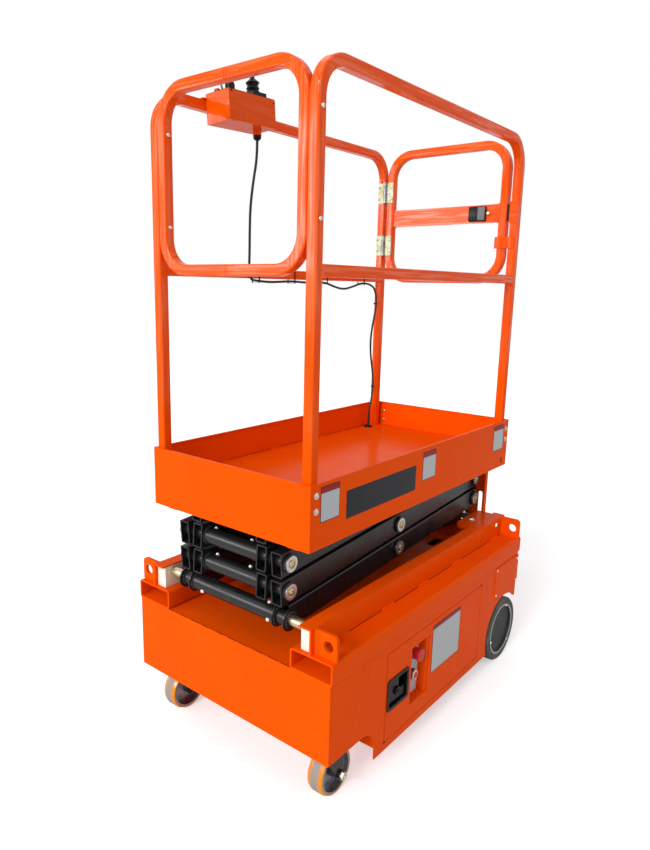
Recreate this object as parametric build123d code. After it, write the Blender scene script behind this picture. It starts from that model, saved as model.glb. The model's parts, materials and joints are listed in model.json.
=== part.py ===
"""A compact push-around scissor lift, folded and parked on its wheels.

Millimetres. The origin is on the floor under the middle of the chassis; +Z is up, +X points to the
gate end with the fixed wheels, and -X to the caster end. "near" pieces are on -Y, "far" ones on +Y.
"""
from build123d import *
from math import asin, atan2, cos, degrees, hypot, radians, sin
import os

os.makedirs("parts", exist_ok=True)

# ---- chassis
chassis_length = 1200.0
chassis_width = 770.0  # over the two fork tubes
sheet = 4.0  # folded panels
panel_recess = 5.0  # panels stand this far inside the fork tubes' outer faces
tray_top = 405.0
end_panel_bottom = 173.0
skirt_bottom = 67.0
cross_wall_bottom = 102.0
caster_bay_length = 220.0
bay_corner_radius = 70.0
panel_gate_setback = 2.0  # the long panels stop this far short of the gate end
cover_length = 198.0
cover_z = (285.0, 395.0)
notch_heights = (292.0, 380.0)
notch_depth = 18.0
weld_gap = 0.2  # fit-up gap between welded plates
cable_slot = (90.0, 34.0)
cable_slot_setback = 130.0
cable_slot_y = -90.0

tube_width = 140.0
tube_height = 60.0
tube_wall = 5.0
tube_corner = 8.0

rail_setback = 71.3  # from the chassis side to the slide rail's outer face
rail_thickness = 5.0
rail_height = 72.0
rail_flange = 42.0
rail_window = (28.0, 18.0)
rail_window_setback = 66.0
rail_window_height = 47.0  # above the fork tube

lug_thickness = 10.0
lug_setback = 16.0  # from the chassis end to the lug's face
lug_height = 71.0
lug_hole_radius = 15.5
lug_hole_inset = 27.0  # hole centre from the fork tube's outer face
lug_hole_height = 35.0  # above the fork tube
lug_corner = 14.0

step_inset = 10.0  # from the fork tubes to the plate's edges
step_fold = 16.0
step_top_gap = 6.0  # under the toe boards
side_slot = (17.0, 140.0)
side_slot_inset = 24.0
side_slot_height = 137.0  # slot centre above the tray
foothold = (300.0, 110.0)
foothold_height = 130.0
battery = (270.0, 380.0, 215.0)
battery_setback = 31.0  # from the doors' hinge edge

# ---- access doors and ground controls
door_caster_gap = 53.0  # from the caster bay's wall
door_wheel_gap = 212.0  # from the fixed wheels' axle
door_z = (95.0, 373.0)
door_gap = 3.0
door_rebate = 8.0
rest_gap = 0.3
latch_setback = 3.0  # from the door's free edge
latch_length = 118.0
latch_z = (186.0, 287.0)
latch_rim = 7.0
latch_corner = 10.0
latch_proud = 3.0
latch_depth = 22.0
latch_wall = 3.0
paddle_sink = 4.0
paddle_gap = 5.0
finger_well = (34.0, 42.0)
key_radius = 12.0
niche_setback = 137.0  # from the door's free edge
niche_length = 110.0
niche_z = (145.0, 334.0)
niche_depth = 24.0
niche_ledge = 16.0  # the niche is this much shorter than the door's cut-out
niche_wall = 2.5
niche_stay = (40.0, 300.0)
button_setback = 190.0  # from the door's free edge
stop_z, stop_radius = 290.0, 20.5
push_z, push_radius = 216.0, 15.0

# ---- gate-end wheels
wheel_setback = 107.0  # from the gate end to the axle
wheel_radius = 122.0
wheel_width = 48.0
wheel_inset = 5.0  # outer face from the chassis width
tyre_thickness = 24.5
wheel_ring = 7.0
wheel_dish = 7.0  # the cover sits this far inside the ring
arch_clearance = 18.0
arch_lip_z = 227.0  # the panel's corner past the arch ends here
axle_radius = 12.5
axle_flange = 40.0
running_gap = 0.05
wheel_well_depth = 85.0

# ---- casters
caster_setback = 68.0  # from the caster end to the swivel
caster_inset = 80.0  # from the chassis side to the swivel
caster_trail = 40.0
caster_radius = 70.0
caster_width = 50.0
caster_tread = 8.0
caster_plate = 52.0  # half the plate's length
caster_plate_thickness = 6.0
caster_axle_radius = 6.0
fork_leg = 5.0
fork_crown = 6.0
fork_head_room = 6.0  # between the wheel and the crown
fork_gap = 8.0
race_height = 8.0
race_radius = 34.0
bearing_radius = 30.0
bearing_height = 7.7
nut_radius = 11.0
nut_length = 8.0
washer_length = 3.0

# ---- scissor stack
arm_depth = 72.0
arm_width = 37.0
arm_wall = 4.0
arm_corner = 5.0
arm_overhang = 30.0
arm_overhang_gate = 25.0
arm_overhang_top = 15.0
stack_inset = 277.0  # from the chassis side to the inner arms' inner faces
arm_gap = 18.0  # between the inner and outer arms
pin_setback = 45.0  # from the chassis ends to the end pins
pin_height = 47.0  # lowest pins above the fork tubes
pin_pitch = 80.0
pin_radius = 12.5
boss_radius = 19.0
pin_depth = 12.0  # how far a pin is pressed into its inner arm
head_radius = 22.5
head_thickness = 4.0
head_groove = (10.5, 14.0, 2.5)  # inner radius, outer radius, depth
base_head_radius = 18.0
head_seat_radius = 27.0
head_seat = 6.0
cross_tube_radius = 24.0
roller_tube_radius = 24.5
roller_sleeve_radius = 21.0
roller_disc_radius = 32.0
roller_disc = 5.0
shaft_radius = 15.0
bracket_gap = 13.0  # from the outer arms to the pivot brackets
bracket_thickness = 8.0
bracket_sheet = 4.0
bracket_length = 174.0
bracket_foot = 104.0
bracket_flap = 24.0

block_length = 66.0
deck_channel_width = 36.0
deck_channel_wall = 4.0
deck_channel_length = 465.0
deck_block = (24.0, 30.0)  # along X on each side of its pin
deck_block_height = 36.0
deck_ear = (60.0, 34.0, 24.0)  # along X on each side of its pin, and below it

cylinder_seat = 0.92  # share of the lowest inner arm, from its fixed pivot
cylinder_seat_drop = 25.0
cylinder_eye = 0.10  # share of the top inner arm, from its gate-end pin
barrel_radius = 30.0
barrel_bore = 22.0
barrel_start = 38.0
barrel_end = 610.0
gland_length = 36.0
rod_radius = 17.5
piston_start = 60.0
barrel_eye_radius = 27.0
barrel_eye_half = 25.0
rod_eye_radius = 22.0
rod_eye_half = 20.0
barrel_pin_radius = 12.5
rod_pin_radius = 12.0
rod_pin_half = 35.0
saddle_back = 30.0  # from the rod's eye to the saddle tube, along the arm
saddle_rise = 38.0
saddle_tube_radius = 18.0

# ---- platform
platform_setback = 3.0  # each end inside the chassis length
platform_width = 600.0
board = 3.0
board_below = 78.0  # toe boards below and above the deck
board_above = 97.0
board_hem = 3.8
board_slot = (26.0, 14.0)
board_slot_setback = 41.0
board_slot_height = 24.0
deck_height = 64.0  # above the top pins
deck_sheet = 4.0

rail_tube = 30.0
rail_tube_corner = 5.0
post_inset = 7.3  # from the platform's side to the posts' outer faces
post_setback_caster = 24.0
post_setback_gate = 36.0
guard_height = 1091.5
mid_rail_height = 626.0
bend_radius = 90.0
end_loop_radius = 85.0

gate_gap = 11.7  # between the gate's loop and the posts
gate_bar_height = 62.0
gate_bar_depth = 24.0
gate_bar_drop = 249.5  # bar centre below the top rail
hinge_reach = 21.0  # hinge axis inboard of the posts' centre
hinge_offset = 6.0  # hinge axis outboard of the gate's loop
hinge_drops = (150.5, 351.5)
hinge_half = 38.0
hinge_knuckle = 6.0
hinge_leaf_width = 28.0
hinge_sheet = 3.0
stop_drop = 352.5
stop_half = 20.0
stop_sheet = 5.0
stop_lap = (22.0, 36.0)  # over the post, and over the gate's loop
keeper_half = 36.0
thumb_y = (-150.0, -108.0)
thumb_half = 26.0
nose_half = 28.0

box_size = (193.0, 93.4, 81.3)
box_centre_x = -311.0
box_gap = 1.1  # from the rail to the box at its middle height
box_centre_drop = 22.2  # below the rail's top face
box_tilt = (-2.7, -2.1)  # lean about X and Y, degrees
box_hook = 3.0
box_hook_reach = 14.0
lid_sheet = 2.0

# ---- sizes that follow
half_length = chassis_length / 2
half_width = chassis_width / 2
caster_bay_end = -half_length + caster_bay_length
panel_gate_end = half_length - panel_gate_setback
wheel_x = half_length - wheel_setback
wheel_well_inner = half_width - wheel_well_depth
rail_web_outer = half_width - rail_setback
caster_swivel_x = -half_length + caster_setback
caster_y = half_width - caster_inset
crown_bottom = 2 * caster_radius + fork_head_room
caster_plate_bottom = crown_bottom + fork_crown + bearing_height + rest_gap + race_height
caster_plate_top = caster_plate_bottom + caster_plate_thickness
door_x = (caster_bay_end + door_caster_gap, wheel_x - door_wheel_gap)
latch_x = (door_x[0] + latch_setback, door_x[0] + latch_setback + latch_length)
niche_x = (door_x[0] + niche_setback, door_x[0] + niche_setback + niche_length)
button_x = door_x[0] + button_setback
panel_outer = half_width - panel_recess
panel_inner = panel_outer - sheet
tray_bottom = tray_top - sheet
tube_top = tray_top + tube_height
tube_inner = half_width - tube_width
rail_z = tube_top + rail_height
pin_x_gate = half_length - pin_setback
pin_x_caster = -pin_x_gate
pin_z_base = tube_top + pin_height
deck_top = pin_z_base + 3 * pin_pitch + deck_height
deck_bottom = deck_top - deck_sheet
board_bottom = deck_top - board_below
board_top = deck_top + board_above
inner_arm_face = half_width - stack_inset
outer_arm_face = inner_arm_face + arm_width + arm_gap
outer_arm_outer = outer_arm_face + arm_width
bracket_face = outer_arm_outer + bracket_gap
deck_channel_inner = bracket_face + 1.0
deck_channel_outer = deck_channel_inner + deck_channel_width
arm_pitch = hypot(pin_x_gate - pin_x_caster, pin_pitch)
fold_angle = degrees(asin(pin_pitch / arm_pitch))
platform_length = chassis_length - 2 * platform_setback
post_x_caster = -platform_length / 2 + post_setback_caster
post_x_gate = platform_length / 2 - post_setback_gate
post_outer = platform_width / 2 - post_inset
post_inner = post_outer - rail_tube
rail_axis = post_outer - rail_tube / 2
rail_top = deck_top + guard_height
mid_rail_top = deck_top + mid_rail_height
mid_rail_axis = mid_rail_top - rail_tube / 2
top_rail_axis = rail_top - rail_tube / 2
board_inner = platform_width / 2 - board
gate_half_width = post_inner - gate_gap
gate_bottom = mid_rail_top - rail_tube
gate_bar_centre = rail_top - gate_bar_drop
hinge_axis_x = post_x_gate - hinge_reach
hinge_axis_y = gate_half_width + hinge_offset
hinge_heights = [rail_top - drop for drop in hinge_drops]
stop_plate_z = rail_top - stop_drop
box_centre = (box_centre_x, post_inner - box_gap - box_size[1] / 2, rail_top - box_centre_drop)

SIDES = {"near": -1, "far": 1}


# ---- helpers
def block(x, y, z):
    """A box from its low and high X, Y and Z."""
    return Pos(sum(x) / 2, sum(y) / 2, sum(z) / 2) * Box(x[1] - x[0], y[1] - y[0], z[1] - z[0])


def rod_y(x, z, y, radius):
    """A round bar along Y between two Y values."""
    return Pos(x, sum(y) / 2, z) * Rot(90, 0, 0) * Cylinder(radius, y[1] - y[0])


def rod_z(x, y, z, radius):
    """A round bar along Z between two Z values."""
    return Pos(x, y, sum(z) / 2) * Cylinder(radius, z[1] - z[0])


def on_side(shape, side):
    """A piece drawn on the far side, or its mirror image on the near side."""
    return shape if side > 0 else mirror(shape, about=Plane.XZ)


def both(shape):
    """A far-side piece and its near-side twin."""
    return [shape, mirror(shape, about=Plane.XZ)]


def plate_xz(points, y, holes=()):
    """A flat plate standing in XZ, cut from a polygon; holes are (x, z, radius)."""
    face = make_face(Plane.XZ * Polyline(*points, close=True))
    solid = Pos(0, y[1], 0) * extrude(face, y[1] - y[0], dir=(0, -1, 0))
    for x, z, radius in holes:
        solid -= rod_y(x, z, (y[0] - 1, y[1] + 1), radius)
    return solid


def write(node, *shapes):
    """One STEP file for a node, from one or more solids."""
    solids = [solid for shape in shapes for solid in shape.solids()]
    whole = solids[0] if len(solids) == 1 else Compound(solids)
    export_step(whole, f"parts/{node}.step")


# ---- chassis shell
def panel_outline():
    """The long side's outline: caster bay at one end, low skirt, then the gate end."""
    left = -half_length + sheet
    corner = caster_bay_end - bay_corner_radius
    outline = [
        Line((left, tray_bottom), (panel_gate_end, tray_bottom)),
        Line((panel_gate_end, tray_bottom), (panel_gate_end, skirt_bottom)),
        Line((panel_gate_end, skirt_bottom), (caster_bay_end, skirt_bottom)),
        Line((caster_bay_end, skirt_bottom), (caster_bay_end, end_panel_bottom - bay_corner_radius)),
        CenterArc((corner, end_panel_bottom - bay_corner_radius), bay_corner_radius, 0, 90),
        Line((corner, end_panel_bottom), (left, end_panel_bottom)),
        Line((left, end_panel_bottom), (left, tray_bottom)),
    ]
    return make_face([Plane.XZ * edge for edge in outline])


def side_panel(side):
    """A long panel with its wheel arch, door opening, rebate and bolted wheel-end cover."""
    panel = Pos(0, panel_outer, 0) * extrude(panel_outline(), sheet, dir=(0, -1, 0))
    arch = rod_y(wheel_x, wheel_radius, (panel_inner - 1, half_width + 1), wheel_radius + arch_clearance)
    cover_x = (panel_gate_end - cover_length, panel_gate_end)
    cover = block(cover_x, (panel_outer, panel_outer + panel_recess - 1), cover_z)
    past_arch = block((wheel_x, half_length), (panel_inner - 1, half_width + 1), (skirt_bottom - 1, arch_lip_z))
    panel = panel + cover - arch - past_arch
    opening_x = (door_x[0] - door_gap, door_x[1] + door_gap)
    opening_z = (door_z[0] - door_gap, door_z[1] + door_gap)
    panel -= block(opening_x, (panel_inner - 1, panel_outer + 1), opening_z)
    rim_y = (panel_inner - sheet, panel_inner - rest_gap)
    rebate = block(
        (opening_x[0] - door_rebate, opening_x[1] + door_rebate),
        (rim_y[0], panel_inner),
        (opening_z[0] - door_rebate / 2, opening_z[1] + door_rebate),
    )
    rebate -= block(
        (door_x[0] + door_rebate, door_x[1] - door_rebate),
        (rim_y[0] - 1, panel_inner + 1),
        (door_z[0] + door_rebate, door_z[1] - door_rebate),
    )
    rebate -= block(opening_x, (rim_y[1], panel_inner + 1), opening_z)
    panel += rebate
    for z in notch_heights:  # relief notches in the gate-end edge
        edge = panel_gate_end + 1
        points = [(edge, z - 12), (panel_gate_end - notch_depth, z + 6), (edge, z)]
        panel -= plate_xz(points, (panel_inner - 1, half_width + 1))
    return on_side(panel, side)


def end_plates():
    """The two end panels; the gate-end one reaches down behind the wheels."""
    plates = []
    for x, bottom in ((-half_length, end_panel_bottom), (half_length - sheet, cross_wall_bottom)):
        half = panel_outer if x < 0 else wheel_well_inner
        plates.append(block((x, x + sheet), (-half, half), (bottom, tray_bottom)))
    return plates


def top_tray():
    """The flat top between the fork tubes, with an oblong cable hole near the gate end."""
    tray = block((-half_length, half_length), (-panel_outer, panel_outer), (tray_bottom, tray_top))
    slot = extrude(SlotOverall(*cable_slot), sheet + 2)
    return tray - Pos(half_length - cable_slot_setback, cable_slot_y, tray_bottom - 1) * slot


def underframe():
    """The floor pans, cross walls, wheel-well walls and caster deck, each a flat plate."""
    well_start = wheel_x - wheel_radius - arch_clearance - sheet - 8
    end_inside = half_length - sheet
    corner_x = (well_start - sheet, well_start)
    pan_z = (cross_wall_bottom, cross_wall_bottom + sheet)
    wall_z = (cross_wall_bottom, tray_bottom)
    deck_z = (caster_plate_top, caster_plate_top + sheet)
    wall_x = (caster_bay_end, caster_bay_end + sheet)
    pan_half = panel_inner - sheet
    well_half = wheel_well_inner - sheet
    gap = weld_gap
    plates = [
        block((wall_x[1] + gap, corner_x[0] - gap), (-pan_half, pan_half), pan_z),
        block((corner_x[0], end_inside), (-well_half + gap, well_half - gap), pan_z),
        block(wall_x, (-panel_inner, panel_inner), wall_z),
        block((-half_length + sheet, wall_x[0] - gap), (-panel_inner, panel_inner), deck_z),
    ]
    plates += both(block((corner_x[1] + gap, end_inside), (well_half, wheel_well_inner), wall_z))
    plates += both(block(corner_x, (well_half, panel_inner), wall_z))
    return plates


def fork_tube():
    """One open-ended rectangular tube along the top of the chassis."""
    section = RectangleRounded(tube_width, tube_height, tube_corner)
    section -= RectangleRounded(tube_width - 2 * tube_wall, tube_height - 2 * tube_wall, tube_corner - tube_wall)
    tube = extrude(Plane.YZ * section, chassis_length)
    return Pos(-half_length, half_width - tube_width / 2, tray_top + tube_height / 2) * tube


def slide_rail():
    """The angle on a fork tube that guides the nylon slide block."""
    x = (-half_length, half_length)
    web = block(x, (rail_web_outer - rail_thickness, rail_web_outer), (tube_top, rail_z))
    flange = block(x, (rail_web_outer - rail_flange, rail_web_outer), (rail_z - rail_thickness, rail_z))
    window = Box(rail_window[0], rail_thickness + 2, rail_window[1])
    middle = (half_length - rail_window_setback, rail_web_outer - rail_thickness / 2, tube_top + rail_window_height)
    return web + flange - Pos(*middle) * window


def lifting_lugs():
    """Four end plates with tie-down holes, outboard of the slide rails."""
    lugs = []
    z = (tube_top, tube_top + lug_height)
    for x0 in (-half_length + lug_setback, half_length - lug_setback - lug_thickness):
        plate = block((x0, x0 + lug_thickness), (rail_web_outer, half_width), z)
        corner = plate.edges().filter_by(Axis.X).sort_by(lambda e: e.center().Y + e.center().Z)[-1]
        plate = fillet(corner, lug_corner)
        hole = Pos(x0 + lug_thickness / 2, half_width - lug_hole_inset, tube_top + lug_hole_height)
        plate -= hole * Rot(0, 90, 0) * Cylinder(lug_hole_radius, lug_thickness + 2)
        lugs += both(plate)
    return lugs


def step_plate():
    """The upright plate at the gate end: folded edges, two side slots and a foothold."""
    top = board_bottom - step_top_gap
    half = tube_inner - step_inset
    x = (half_length - sheet, half_length)
    plate = block(x, (-half, half), (tray_top, top))
    for s in (-1, 1):
        edge = sorted((s * half, s * (half - sheet)))
        plate += block((x[0] - step_fold, x[0]), edge, (tray_top, top))
        slot = extrude(Plane.YZ * SlotOverall(side_slot[1], side_slot[0], rotation=90), sheet + 2)
        plate -= Pos(x[0] - 1, s * (half - side_slot_inset), tray_top + side_slot_height) * slot
    hole = extrude(Plane.YZ * RectangleRounded(*foothold, 14), sheet + 2)
    return plate - Pos(x[0] - 1, 0, tray_top + foothold_height) * hole


def pivot_brackets():
    """The pair of box brackets that hold the lowest inner arms: ear, top plate and end flap."""
    under = rail_z - bracket_sheet
    end = half_length - sheet - step_fold - weld_gap
    x = (end - bracket_length, end)
    y = (bracket_face, rail_web_outer - rail_flange - weld_gap)
    ear = plate_xz(
        [
            (x[1] - bracket_foot, tray_top),
            (x[1], tray_top),
            (x[1], under),
            (x[1] - bracket_foot + 20, under),
        ],
        (bracket_face, bracket_face + bracket_thickness),
        [(pin_x_gate, pin_z_base, pin_radius + running_gap)],
    )
    top = block(x, y, (under, rail_z))
    outline = [
        (y[0], rail_z),
        (y[1], rail_z),
        (y[1], under),
        ((y[0] + y[1]) / 2 + 4, rail_z - bracket_flap),
        (y[0], rail_z - bracket_flap),
    ]
    face = make_face(Plane.YZ * Polyline(*outline, close=True))
    flap = Pos(x[0], 0, 0) * extrude(face, bracket_sheet, dir=(1, 0, 0))
    return both(ear + top + flap)


def battery_pack():
    """The batteries as one plain block, on the floor pan."""
    length, width, height = battery
    gate_side = door_x[1] - battery_setback
    floor = cross_wall_bottom + sheet
    return block((gate_side - length, gate_side), (-width / 2, width / 2), (floor, floor + height))


# ---- access doors
def latch_opening(grow):
    """The door's hole for the latch dish, larger than the dish by grow all round."""
    x = (latch_x[0] + latch_rim - grow, latch_x[1] - latch_rim + grow)
    z = (latch_z[0] + latch_rim - grow, latch_z[1] - latch_rim + grow)
    return x, z


def access_door(side):
    """A flush door; the near one is cut out for the ground controls."""
    door = block(door_x, (panel_inner, panel_outer), door_z)
    x, z = latch_opening(0.5)
    door -= block(x, (panel_inner - 1, panel_outer + 1), z)
    if side < 0:
        door -= block(niche_x, (panel_inner - 1, panel_outer + 1), niche_z)
    return on_side(door, side)


def door_latch(side):
    """A flush dish with a rounded rim, a paddle with a finger well, and a key barrel."""
    rim_size = (latch_x[1] - latch_x[0], latch_z[1] - latch_z[0])
    centre = (sum(latch_x) / 2, sum(latch_z) / 2)
    x, z = latch_opening(0)
    rim = extrude(Plane.XZ * RectangleRounded(*rim_size, latch_corner), latch_proud, dir=(0, 1, 0))
    latch = Pos(centre[0], panel_outer, centre[1]) * rim
    latch += block(x, (panel_outer - latch_depth, panel_outer), z)
    inside_x = (x[0] + latch_wall, x[1] - latch_wall)
    inside_z = (z[0] + latch_wall, z[1] - latch_wall)
    floor = panel_outer - latch_depth + latch_wall
    latch -= block(inside_x, (floor, panel_outer + latch_proud + 1), inside_z)
    paddle_x = (inside_x[0] + paddle_gap, inside_x[1] - paddle_gap)
    paddle_z = (inside_z[0] + paddle_gap, inside_z[1] - paddle_gap)
    paddle = block(paddle_x, (floor - 1, panel_outer - paddle_sink), paddle_z)
    well_x = (paddle_x[1] - finger_well[0], paddle_x[1] + 1)
    well_z = (paddle_z[1] - finger_well[1], paddle_z[1] + 1)
    paddle -= block(well_x, (floor, panel_outer), well_z)
    latch += paddle + rod_y(centre[0], centre[1] - paddle_gap, (floor, panel_outer), key_radius)
    return on_side(latch, side)


def control_niche():
    """The shallow box behind the near door that carries the ground controls."""
    front = panel_inner - rest_gap
    back = front - niche_depth
    wall = niche_wall
    inside_x = (niche_x[0], niche_x[1] - niche_ledge)
    outer_x = (inside_x[0] - wall, inside_x[1] + wall)
    outer_z = (niche_z[0] - wall, niche_z[1] + wall)
    niche = block(outer_x, (back - wall, front), outer_z)
    niche += block((inside_x[1], niche_x[1] + wall), (front - wall, front), outer_z)
    niche -= block(inside_x, (back, front + 1), niche_z)
    middle = sum(inside_x) / 2
    stay_x = (middle - niche_stay[0] / 2, middle + niche_stay[0] / 2)
    niche += block(stay_x, (back - wall - 4, back - wall), (cross_wall_bottom + sheet, niche_stay[1]))
    return on_side(niche, -1)


def ground_controls():
    """The mushroom stop button and the push button, seated on the niche's back."""
    back = panel_inner - rest_gap - niche_depth
    stop = rod_y(button_x, stop_z, (back, back + 6), stop_radius - 3)
    stop += rod_y(button_x, stop_z, (back + 6, back + 21), stop_radius - 8)
    stop += rod_y(button_x, stop_z, (back + 21, back + 30), stop_radius - 3)
    stop += rod_y(button_x, stop_z, (back + 26, back + 32), stop_radius)
    push = rod_y(button_x, push_z, (back, back + 12), push_radius)
    push += rod_y(button_x, push_z, (back + 12, back + 16), push_radius - 5)
    return [on_side(stop, -1), on_side(push, -1)]


# ---- gate-end wheels
def axle_stubs():
    """Two flanged stub axles on the wheel-well walls."""
    outer = half_width - wheel_inset - 12
    stub = rod_y(wheel_x, wheel_radius, (wheel_well_inner, outer), axle_radius)
    stub += rod_y(wheel_x, wheel_radius, (wheel_well_inner, wheel_well_inner + 8), axle_flange)
    return both(stub)


def wheel_profile(points):
    """A ring about the wheel's axle from (radius, |Y|) corners."""
    face = make_face(Plane.XY * Polyline(*points, close=True))
    return Pos(wheel_x, 0, wheel_radius) * revolve(face, Axis.Y)


def drive_tyre(side):
    """The solid rubber tyre with chamfered shoulders."""
    outer_y = half_width - wheel_inset
    inner_y = outer_y - wheel_width
    bore = wheel_radius - tyre_thickness
    tyre = wheel_profile(
        [
            (bore, inner_y),
            (wheel_radius - 5, inner_y),
            (wheel_radius, inner_y + 6),
            (wheel_radius, outer_y - 6),
            (wheel_radius - 5, outer_y),
            (bore, outer_y),
        ]
    )
    return on_side(tyre, side)


def drive_hub(side):
    """The rim with its raised ring, hub barrel and domed cover."""
    outer_y = half_width - wheel_inset
    inner_y = outer_y - wheel_width
    rim = wheel_radius - tyre_thickness
    cover = rim - wheel_ring
    dish = outer_y - wheel_dish
    hub = wheel_profile(
        [
            (axle_radius + running_gap, inner_y + 4),
            (34, inner_y + 4),
            (34, outer_y - 22),
            (cover - 6, outer_y - 22),
            (cover - 6, inner_y + 3),
            (rim, inner_y + 3),
            (rim, outer_y),
            (cover + 2, outer_y + 1),
            (cover, outer_y),
            (cover - 3, dish),
            (40, dish - 1),
            (0, dish + 1),
            (0, outer_y - 11),
            (axle_radius + running_gap, outer_y - 11),
        ]
    )
    return on_side(hub, side)


# ---- casters
def caster_plates():
    """The two bolted top plates with their bearing races."""
    z = (caster_plate_bottom, caster_plate_top)
    plate = block(
        (caster_swivel_x - caster_plate, caster_swivel_x + caster_plate),
        (caster_y - caster_plate - 8, caster_y + caster_plate + 8),
        z,
    )
    race = rod_z(caster_swivel_x, caster_y, (z[0] - race_height, z[0]), race_radius)
    return both(plate + race)


def fork_leg_face(axle_x):
    """One leg's outline in XZ: a raked tongue with a round end about the axle."""
    top, middle = crown_bottom + fork_crown / 2, caster_radius
    end = 17.0
    left, right = caster_swivel_x - 24, caster_swivel_x + 44
    outline = [
        Line((left, top), (right, top)),
        Line((right, top), (axle_x + end, middle)),
        CenterArc((axle_x, middle), end, 0, -180),
        Line((axle_x - end, middle), (left, top)),
    ]
    return make_face([Plane.XZ * edge for edge in outline])


def caster_fork(side):
    """The swivelling crown with two raked legs and the axle bolt."""
    axle_x = caster_swivel_x + caster_trail
    leg_inner = caster_width / 2 + fork_gap
    leg_outer = leg_inner + fork_leg
    crown_top = crown_bottom + fork_crown
    fork = rod_z(caster_swivel_x, caster_y, (crown_top, crown_top + bearing_height), bearing_radius)
    fork += block(
        (caster_swivel_x - 30, caster_swivel_x + 48),
        (caster_y - leg_outer, caster_y + leg_outer),
        (crown_bottom, crown_top),
    )
    leg = extrude(fork_leg_face(axle_x), fork_leg, dir=(0, -1, 0))
    nut = extrude(Plane.XZ * RegularPolygon(nut_radius, 6), nut_length, dir=(0, 1, 0))
    reach = leg_outer + washer_length
    for y in (caster_y - leg_inner, caster_y + leg_outer):
        fork += Pos(0, y, 0) * leg
    fork += rod_y(axle_x, caster_radius, (caster_y - reach, caster_y + reach), nut_radius + 2)
    fork -= rod_y(axle_x, caster_radius, (caster_y - leg_inner, caster_y + leg_inner), nut_radius + 3)
    axle = reach + nut_length + 3
    fork += rod_y(axle_x, caster_radius, (caster_y - axle, caster_y + axle), caster_axle_radius)
    for y in (caster_y - reach - nut_length, caster_y + reach):
        fork += Pos(axle_x, y, caster_radius) * nut
    return on_side(fork, side)


def caster_ring(points):
    """A ring about a caster's axle from (radius, offset) corners."""
    face = make_face(Plane.XY * Polyline(*points, close=True))
    return Pos(caster_swivel_x + caster_trail, caster_y, caster_radius) * revolve(face, Axis.Y)


def caster_hub(side):
    """The cast wheel centre: hub barrel, thin web and rim."""
    rim = caster_radius - caster_tread
    half = caster_width / 2
    hub = caster_ring(
        [
            (caster_axle_radius + running_gap, -half - 3),
            (16, -half - 3),
            (18, -5),
            (rim - 7, -5),
            (rim - 5, -half),
            (rim, -half),
            (rim, half),
            (rim - 5, half),
            (rim - 7, 5),
            (18, 5),
            (16, half + 3),
            (caster_axle_radius + running_gap, half + 3),
        ]
    )
    return on_side(hub, side)


def caster_tyre(side):
    """The polyurethane tread, rounded at its shoulders."""
    rim = caster_radius - caster_tread
    half = caster_width / 2
    tyre = caster_ring(
        [
            (rim, -half),
            (caster_radius - 4, -half),
            (caster_radius, -half + 9),
            (caster_radius, half - 9),
            (caster_radius - 4, half),
            (rim, half),
        ]
    )
    return on_side(tyre, side)


# ---- scissor stack
def pin_at(column, level):
    """X and Z of a pin: column N, C or F, and its level above the base."""
    x = {"N": pin_x_caster, "C": (pin_x_caster + pin_x_gate) / 2, "F": pin_x_gate}[column]
    return x, pin_z_base + level * pin_pitch


def arm_bar(face_y, overhangs, bores, trimmed=False):
    """A rectangular tube along +X from its first pin, on the far side, with pin bosses."""
    length = overhangs[0] + arm_pitch + overhangs[1]
    section = RectangleRounded(arm_width, arm_depth, arm_corner)
    section -= RectangleRounded(arm_width - 2 * arm_wall, arm_depth - 2 * arm_wall, 1)
    middle = face_y + arm_width / 2
    bar = Pos(-overhangs[0], middle, 0) * extrude(Plane.YZ * section, length)
    if trimmed:  # the end that works inside the toe boards loses its lower corner
        end = arm_pitch + overhangs[1]
        bar -= plate_xz(
            [(end - 14, -arm_depth / 2 - 1), (end + 1, -arm_depth / 2 - 1), (end + 1, -16)],
            (face_y - 1, face_y + arm_width + 1),
        )
    for x in (0, arm_pitch / 2, arm_pitch):
        bar += rod_y(x, 0, (face_y, face_y + arm_width), boss_radius)
    for x, radius in bores:
        bar -= rod_y(x, 0, (face_y - 1, face_y + arm_width + 1), radius)
    return bar


def head_seats(shares):
    """Raised rings on the outer arms that the pin heads bear on."""
    rings = []
    for share in shares:
        seat_y = (outer_arm_outer, outer_arm_outer + head_seat)
        ring = rod_y(share * arm_pitch, 0, seat_y, head_seat_radius)
        rings.append(ring - rod_y(share * arm_pitch, 0, (outer_arm_face, seat_y[1] + 1), pin_radius + running_gap))
    return rings


def stage_place(kind, stage):
    """Where an arm's local X axis starts and leans: outer arms rise to +X, inner ones to -X."""
    if kind == "outer":
        x, z = pin_at("N", stage - 1)
        return Pos(x, 0, z) * Rot(0, -fold_angle, 0)
    x, z = pin_at("N", stage)
    return Pos(x, 0, z) * Rot(0, fold_angle, 0)


def spacer(share):
    """The boss that keeps an inner arm clear of the outer arm beside it."""
    y = (inner_arm_face + arm_width, outer_arm_face - 1)
    return rod_y(share * arm_pitch, 0, y, boss_radius + 2)


def seat_ears():
    """The plates on the lowest frame's cross tube that carry the barrel's pivot pin."""
    seat = ((1 - cylinder_seat) * arm_pitch, -cylinder_seat_drop)
    strap = Pos(seat[0], 0, seat[1]) * Rot(0, -degrees(atan2(-seat[1], -seat[0])), 0)
    y = (barrel_eye_half + 1, barrel_eye_half + 9)
    ears = []
    for low in (-y[1], y[0]):
        bar = block((0, hypot(*seat)), (low, low + y[1] - y[0]), (-18, 18))
        ears.append(strap * (bar + rod_y(0, 0, (low, low + y[1] - y[0]), 18)))
    ears.append(rod_y(*seat, (-y[1] - 3, y[1] + 3), barrel_pin_radius))
    return ears


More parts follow.
